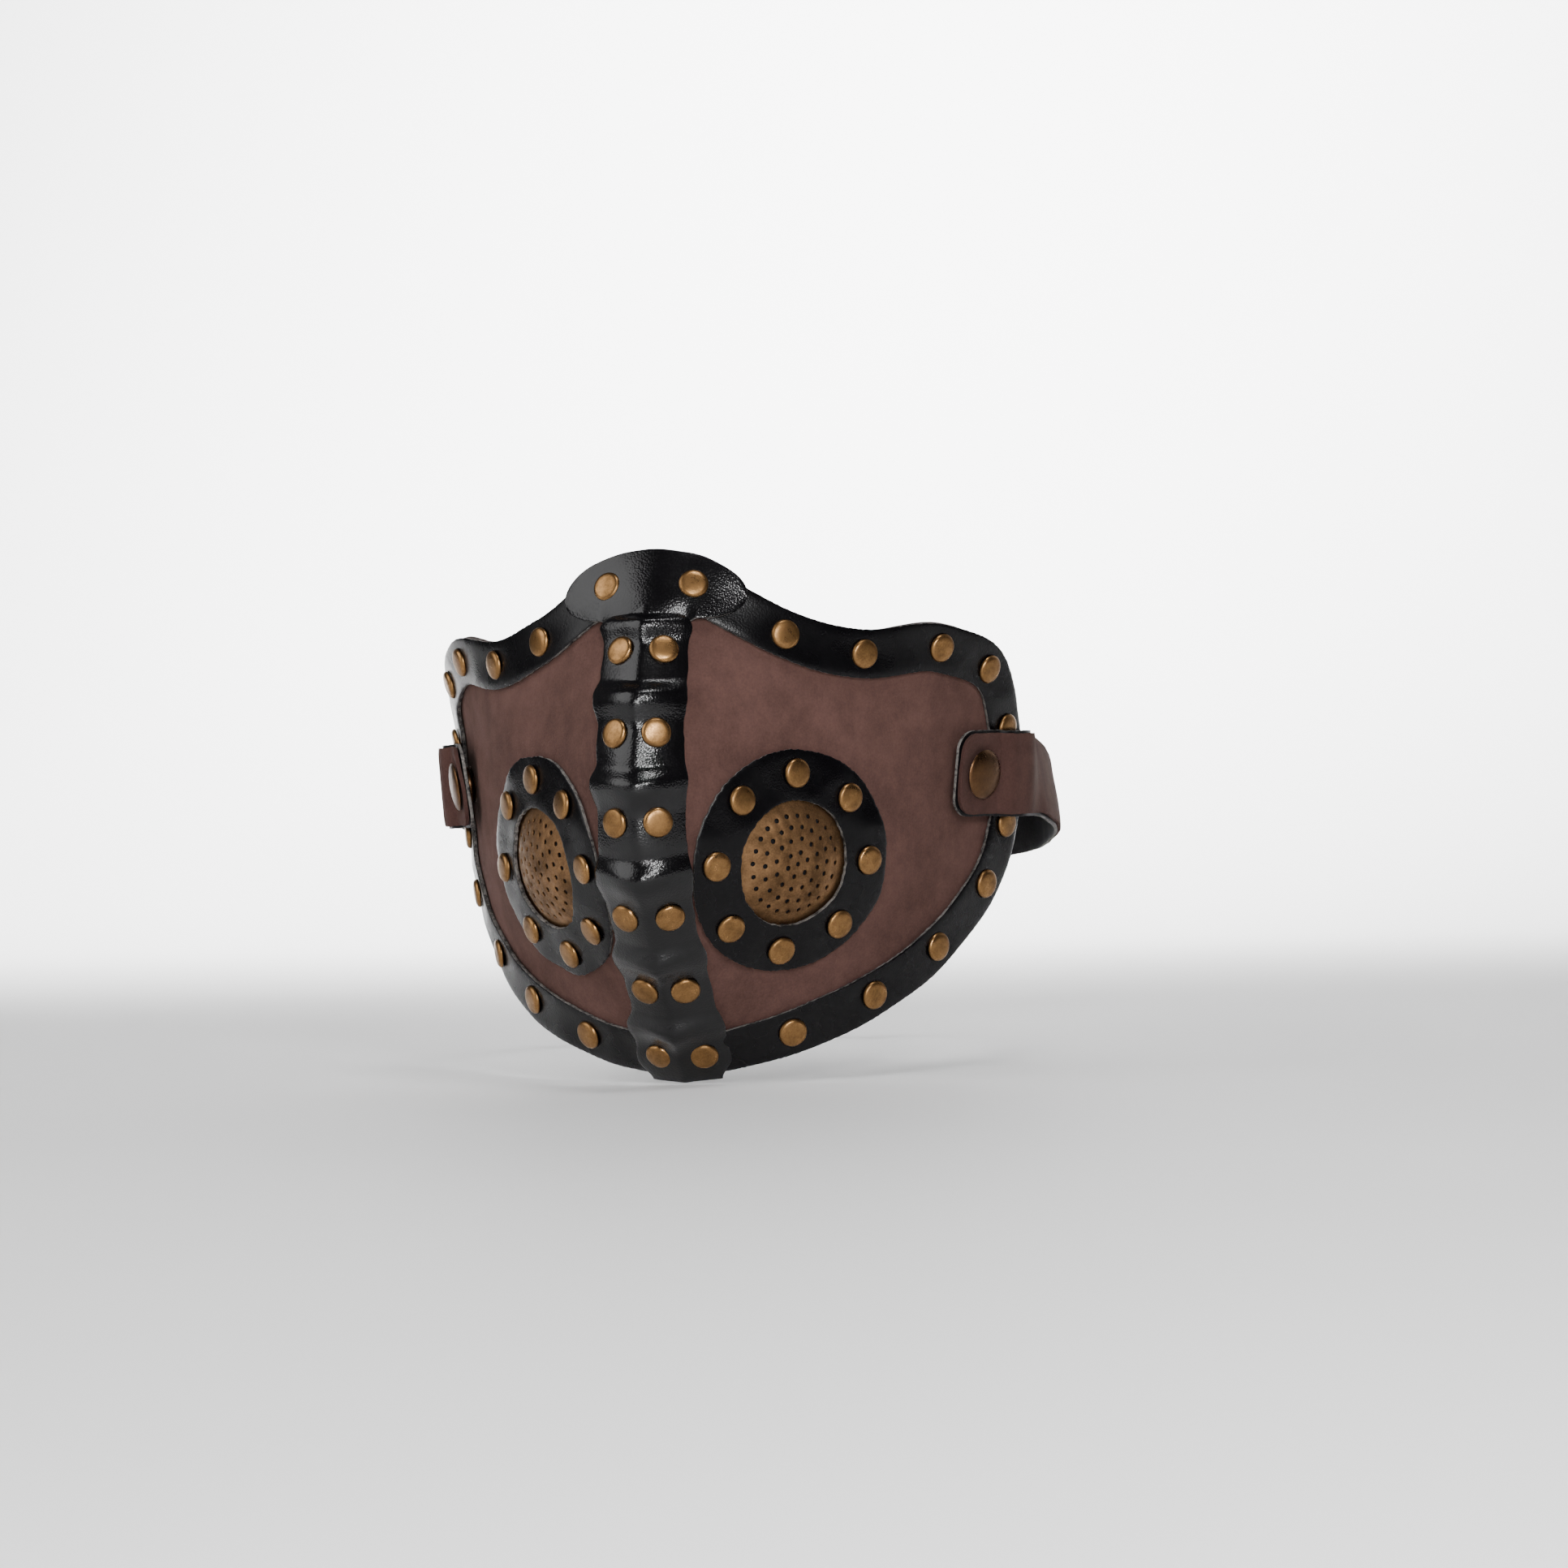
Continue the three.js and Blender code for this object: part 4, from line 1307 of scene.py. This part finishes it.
class MASK_OT_rivets(bpy.types.Operator):
    """Turns the rivets of the trims, the strip, the tab and the vents, and stands each in place"""

    bl_idname = "mask.rivets"
    bl_label = "Rivets"

    def execute(self, context):
        draw = np.random.default_rng(81)
        behind = mm.panel_thickness + 0.35
        for kind, count, seat in [("trim_rivet", 10, outer(-0.1)), ("strip_rivet", 6, outer(0.25))]:
            pattern = turned(f"{kind}_pattern", rivet_profile(seat + behind))
            for name, side in SIDES:
                for i in range(count):
                    self.place(pattern, f"{name}_{kind}_{i + 1}", side, seat, draw)
            remove(pattern)
        seat = outer(0.95)
        pattern = turned("nose_rivet_pattern", rivet_profile(seat + behind))
        for name, side in SIDES:
            self.place(pattern, f"{name}_nose_rivet", side, seat, draw)
        remove(pattern)
        seat = outer(-0.05)
        pattern = turned("vent_rivet_pattern", rivet_profile(seat + behind + 0.6))
        for name, side in SIDES:
            for i, (x, z) in enumerate(vent_rivets(), 1):
                matrix = standing(x, z, side, seat, *self.lean(draw))
                rivet = copy_at(pattern, f"{name}_vent_rivet_{i}", matrix)
                self.finish_rivet(rivet, f"{name}_vent_backing")
        remove(pattern)
        return {"FINISHED"}

    def lean(self, draw):
        return draw.uniform(0, math.tau), draw.normal(0, 0.03, 2)

    def place(self, pattern, node, side, seat, draw):
        matrix = standing(*foot(node), side, seat, *self.lean(draw))
        self.finish_rivet(copy_at(pattern, f"domed_{node}", matrix), node)

    def finish_rivet(self, rivet, node):
        dress(rivet, rivet_brass())
        smooth(rivet, 50)
        hand_over(rivet, "mask", "rivet_brass", node)


class MASK_OT_vent_rings(bpy.types.Operator):
    """Bends the flat brass ring behind each vent"""

    bl_idname = "mask.vent_rings"
    bl_label = "Vent rings"

    def execute(self, context):
        for name, side in SIDES:
            inner, wide_radius = mm.vent_radius + 0.6, mm.vent_pitch_radius + 3
            ring = round_grid(f"{name}_backing_ring", inner, wide_radius, 6, 128)

            def place_of(angle, radius):
                x, z = walk(*vent_centre(), angle, radius)
                return on_face(x, z, -mm.panel_thickness - mm.layer_gap)
            bend_round(ring, place_of, side)
            finish_sheet(ring, 0.6, [snap_brass()], round_edge=0.15)
            hand_over(ring, "mask", "rivet_brass", f"{name}_vent_backing")
        return {"FINISHED"}


class MASK_OT_snaps(bpy.types.Operator):
    """Turns the cap, the socket and the stud of each strap snap"""

    bl_idname = "mask.snaps"
    bl_label = "Strap snaps"

    def execute(self, context):
        seat = mm.strap_rest + mm.lining_thickness + mm.strap_thickness - 0.05
        cap, high = mm.snap_radius, mm.snap_height
        back = -mm.panel_thickness - 0.05
        kinds = {
            "cap": [
                (0, 2.2), (1.2, 2.2), (1.2, seat), (0.9 * cap, seat), (0.98 * cap, seat + 0.1),
                (cap, seat + 0.3), (0.97 * cap, seat + 0.55), (0.9 * cap, seat + 0.8),
                (0.78 * cap, seat + 0.68 * high), (0.6 * cap, seat + 0.84 * high),
                (0.35 * cap, seat + 0.95 * high), (0.15 * cap, seat + 0.99 * high),
                (0, seat + high),
            ],
            "socket": [
                (2.2, 1.0), (4.1, 1.0), (4.45, 1.1), (4.6, 1.35), (4.6, 2.0), (4.4, 2.25),
                (1.5, 2.3), (1.5, 1.95), (2.2, 1.95), (2.2, 1.0),
            ],
            "stud": [
                (0, back + 0.05), (0.5, back), (0.7, back - 0.5), (1.2, back - 0.6),
                (2.4, back - 0.55), (2.9, back - 0.35), (3.0, back), (0.9, back), (0.9, 0.3),
                (4.4, 0.3), (4.6, 0.42), (4.5, 0.62), (1.6, 0.7), (1.55, 0.9), (1.9, 1.2),
                (1.75, 1.45), (1.3, 1.6), (0, 1.62),
            ],
        }
        bodies = {"cap": "{}_snap_slider", "socket": "{}_snap_slider", "stud": "mask"}
        for kind, profile in kinds.items():
            pattern = turned(f"snap_{kind}_pattern", profile, 48)
            for name, side in SIDES:
                matrix = standing(*snap_place(), side)
                piece = copy_at(pattern, f"{name}_turned_{kind}", matrix)
                dress(piece, snap_brass())
                smooth(piece, 50)
                hand_over(piece, bodies[kind].format(name), "snap_brass", f"{name}_snap_{kind}")
            remove(pattern)
        return {"FINISHED"}


# ------------------------------------------------------------------ straps

def strap_depths():
    """Depth of the strap's underside at the back, for the left and the right strap."""
    right = float(face_depth(*snap_place())) + mm.loop_reach
    cad_thickness = 1.1
    stack = 2 * mm.lining_thickness + cad_thickness + 4 * mm.layer_gap
    return {"left": right + stack + 2 * mm.closure_thickness + mm.closure_gap, "right": right}


def strap_path(back_depth):
    """Points of the strap's underside: along the cheek, over the rivets, round the neck."""
    x, z = snap_place()
    fifth, sixth = (on_face(*trim_rivets()[i]) for i in (4, 5))
    rear = np.linalg.norm((fifth + sixth) / 2 - on_face(x, z))
    front = [
        (-mm.snap_reach, 0), (-4, 0), (0, 0), (mm.snap_radius - 1.5, 0),
        (mm.snap_radius + 0.8, 0.16), (rear - 4.7, 0.9), (rear - 1.7, 1), (rear + 2.3, 1),
    ]
    points = [
        on_face(*walk(x, z, 0, distance), lerp(mm.strap_rest, mm.strap_lift, lift))
        for distance, lift in front
    ]
    half = mm.mask_width / 2 + mm.loop_flare
    start = points[-1][1]
    bends = [
        (0.982, 0.12, 0.1), (0.975, 0.3, 0.3), (0.905, 0.56, 0.55), (0.77, 0.81, 0.78),
        (0.57, 0.955, 0.94), ((mm.closure_length / 2 + 9) / half, 1, 1),
        ((mm.closure_length / 2 + 3) / half, 1, 1), (0, 1, 1), (-mm.closure_overlap / half, 1, 1),
    ]
    for across, back, drop in bends:
        points.append([across * half, lerp(start, back_depth, back), z - drop * mm.strap_drop])
    return np.array(points)


def strap_place(back_depth):
    """A function that gives the place of (distance, side, height) on a strap, and its length."""
    fine = smooth_curve(strap_path(back_depth), np.linspace(0, 1, 3000))
    run = np.concatenate([[0], np.cumsum(np.linalg.norm(np.diff(fine, axis=0), axis=1))])
    start = face_normal(*(np.float64(v) for v in snap_place()))
    cheek_up = unit(np.array([0, 0, 1.0]) - start * start[2])

    def at(distance):
        return np.stack([np.interp(distance, run, fine[:, i]) for i in range(3)], axis=-1)

    def place(distance, side, height):
        within = np.clip(distance, 0.3, run[-1] - 0.3)
        forward = unit(at(within + 0.3) - at(within - 0.3))
        lean = np.maximum(0, 1 - distance / (5 * mm.snap_reach))[:, None]
        upright = lerp(np.array([0, 0, 1.0]), cheek_up, lean)
        upright = unit(upright - forward * (upright * forward).sum(1, keepdims=True))
        splay = 0.18 * smoothstep(distance, 30, 44) * (1 - smoothstep(distance, 60, 100))
        upright = unit(upright - np.cross(forward, upright) * splay[:, None])
        outwards = np.cross(forward, upright)
        past_end = (distance - np.clip(distance, 0, run[-1]))[:, None]
        middle = at(distance) + forward * past_end
        return middle + upright * side[:, None] + outwards * height[:, None]
    return place, run[-1]


def band(name, side, columns, rows, rim, height_of):
    """One sheet of the strap, with rounded corners, whose rows lie closer at both ends."""
    piece = grid(name, columns, rows)
    place, total = strap_place(strap_depths()["left" if side > 0 else "right"])
    corner = mm.strap_corner

    def place_of(across, along):
        end = 0.06
        near = np.minimum(along, 1 - along)
        eased = corner * np.minimum(near / end, 1) ** 1.6
        inner = corner + (near - end) * (total - 2 * corner) / (1 - 2 * end)
        from_end = np.where(near < end, eased, inner)
        distance = np.where(along < 0.5, from_end, total - from_end)
        inside = np.maximum(0, corner - from_end)
        half = mm.strap_width / 2 - corner + np.sqrt(corner**2 - np.minimum(inside, corner) ** 2)
        cut = 2 * (across - 0.5)
        rough = 0.06 * unevenness(distance, cut * 20, 1.8, 91 + side + columns)
        reach = cut * (half + rim + rough)
        shift = rim * np.where(along < 0.5, -1, 1) * np.maximum(0, 1 - from_end / corner)
        return place(distance + shift, reach, height_of(distance, reach))
    bend(piece, place_of, side)
    return piece


class MASK_OT_straps(bpy.types.Operator):
    """Bends the suede of each strap, sunk a little round the snap"""

    bl_idname = "mask.straps"
    bl_label = "Straps"

    def execute(self, context):
        top = mm.lining_thickness + mm.strap_thickness
        for name, side in SIDES:
            def height_of(distance, reach):
                from_snap = np.hypot(distance - mm.snap_reach, reach)
                sunk = 0.8 * hump(np.maximum(0, from_snap - 5), 2.6)
                soft = 0.12 * unevenness(distance, reach, 17, 101 + side)
                return top - sunk + soft - 0.3 * np.abs(reach / mm.strap_width * 2) ** 8
            strap = band(f"{name}_suede_strap", side, 36, 300, 0, height_of)
            sides = shaded_strap_suede(), suede_back(), shaded_strap_suede()
            finish_sheet(strap, mm.strap_thickness - 0.35, sides, inside=STRAP_INSIDE)
            hand_over(strap, f"{name}_strap_half", "suede_strap", f"{name}_strap")
        return {"FINISHED"}


class MASK_OT_strap_linings(bpy.types.Operator):
    """Bends the black lining under each strap, which shows as a thin dark rim"""

    bl_idname = "mask.strap_linings"
    bl_label = "Strap linings"

    def execute(self, context):
        for name, side in SIDES:
            def height_of(distance, reach):
                return np.full(len(distance), mm.lining_thickness)
            lining = band(f"{name}_black_lining", side, 20, 300, mm.lining_rim, height_of)
            sides = lining_leatherette(), lining_leatherette(), fibre_material()
            finish_sheet(lining, mm.lining_thickness, sides, inside=STRAP_INSIDE)
            hand_over(
                lining, f"{name}_strap_half", "black_leatherette", f"{name}_strap_lining"
            )
        return {"FINISHED"}


class MASK_OT_closure(bpy.types.Operator):
    """Makes the hook patch and the loop patch, each with its field of small hooks or loops"""

    bl_idname = "mask.closure"
    bl_label = "Hook-and-loop closure"

    def execute(self, context):
        for node, body, outwards in (
            ("hook_patch", "left_strap_half", -1), ("loop_patch", "right_strap_half", 1),
        ):
            low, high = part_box(node)
            self.tape(node, body, outwards, low, high)
        return {"FINISHED"}

    def tape(self, node, body, outwards, low, high):
        """A woven tape with rounded corners, and its field on the side that meets the other."""
        size = high - low
        deselect()
        bpy.ops.mesh.primitive_plane_add(size=1)
        piece = bpy.context.object
        piece.name = piece.data.name = f"{node}_tape"
        edit(piece)
        bpy.ops.mesh.select_all(action="SELECT")
        bpy.ops.transform.resize(value=(size.x, size.z, 1))
        bpy.ops.mesh.bevel(offset=2 * MM, segments=6, affect="VERTICES")
        bpy.ops.mesh.extrude_region_move(
            TRANSFORM_OT_translate={"value": (0, 0, 0.35 * size.y)}
        )
        bpy.ops.mesh.select_all(action="SELECT")
        bpy.ops.mesh.normals_make_consistent(inside=False)
        deselect()
        middle = (low + high) / 2
        back = low.y if outwards > 0 else high.y
        turn = Matrix.Rotation(-outwards * math.pi / 2, 4, "X")
        stand = Matrix.Translation((middle.x, back, middle.z)) @ turn
        field = self.field(node, size, stand)
        piece.data.transform(stand)
        dress(piece, tape_weave())
        smooth(piece, 40)
        hand_over(piece, body, "hook_and_loop", node)
        hand_over(field, body, "hook_and_loop", node)

    def field(self, node, size, stand):
        """Small bent hooks or loops in rows. Each one is a thin bent wire."""
        arc = math.pi * (1.25 if node == "hook_patch" else 1.0)
        deselect()
        bpy.ops.mesh.primitive_circle_add(vertices=4, radius=0.09 * MM, location=(0, 0, 0))
        wire = bpy.context.object
        edit(wire, "EDGE")
        bpy.ops.mesh.select_all(action="SELECT")
        radius = 0.26 * MM
        steps = 6
        previous = Vector((0, 0, 0))
        for i in range(1, steps + 1):
            turn = arc * i / steps
            place = Vector((radius * (1 - math.cos(turn)), 0, radius * 1.2 * math.sin(turn)))
            bpy.ops.mesh.extrude_edges_move(
                TRANSFORM_OT_translate={"value": tuple(place - previous)}
            )
            previous = place
        deselect()
        draw = np.random.default_rng(111)
        matrices = []
        pitch = 1.25 * MM
        across, upwards = size.x - 3 * MM, size.z - 3 * MM
        for i in range(int(across / pitch)):
            for j in range(int(upwards / pitch)):
                slip = draw.normal(0, 0.12 * MM, 2)
                place = (
                    (i + 0.5) * pitch - across / 2 + slip[0],
                    (j + 0.5) * pitch - upwards / 2 + slip[1], 0.35 * size.y,
                )
                spin = Matrix.Rotation(draw.uniform(0, math.tau), 4, "Z")
                matrices.append(stand @ Matrix.Translation(place) @ spin)
        field = scattered(f"{node}_field", wire, matrices)
        remove(wire)
        dress(field, tape_weave())
        smooth(field, 60)
        return field


PIECES = [
    MASK_OT_stage,
    MASK_OT_cheek_panels,
    MASK_OT_edge_trims,
    MASK_OT_centre_strip,
    MASK_OT_nose_tab,
    MASK_OT_vent_patches,
    MASK_OT_vent_grilles,
    MASK_OT_vent_gauzes,
    MASK_OT_vent_rings,
    MASK_OT_rivets,
    MASK_OT_snaps,
    MASK_OT_straps,
    MASK_OT_strap_linings,
    MASK_OT_closure,
]


class MASK_PT_pieces(bpy.types.Panel):
    """Lists the mask's pieces in the sidebar"""

    bl_idname = "MASK_PT_pieces"
    bl_label = "Costume mask"
    bl_space_type = "VIEW_3D"
    bl_region_type = "UI"
    bl_category = "Mask"

    def draw(self, context):
        column = self.layout.column()
        for piece in PIECES:
            column.operator(piece.bl_idname)


GROUPS = {
    "mask_sizes": MaskSizes,
    "mask_shape": MaskShape,
    "mask_colours": FinishColours,
    "mask_stage": StageSizes,
}


def register():
    for name, group_class in GROUPS.items():
        bpy.utils.register_class(group_class)
        setattr(bpy.types.Scene, name, PointerProperty(type=group_class))
    for piece in [*PIECES, MASK_PT_pieces]:
        bpy.utils.register_class(piece)


def unregister():
    for piece in reversed([*PIECES, MASK_PT_pieces]):
        bpy.utils.unregister_class(piece)
    for name, group_class in reversed(GROUPS.items()):
        delattr(bpy.types.Scene, name)
        bpy.utils.unregister_class(group_class)


def main():
    register()
    for piece in PIECES:
        kind, call = piece.bl_idname.split(".")
        getattr(getattr(bpy.ops, kind), call)()


if __name__ == "__main__":
    main()
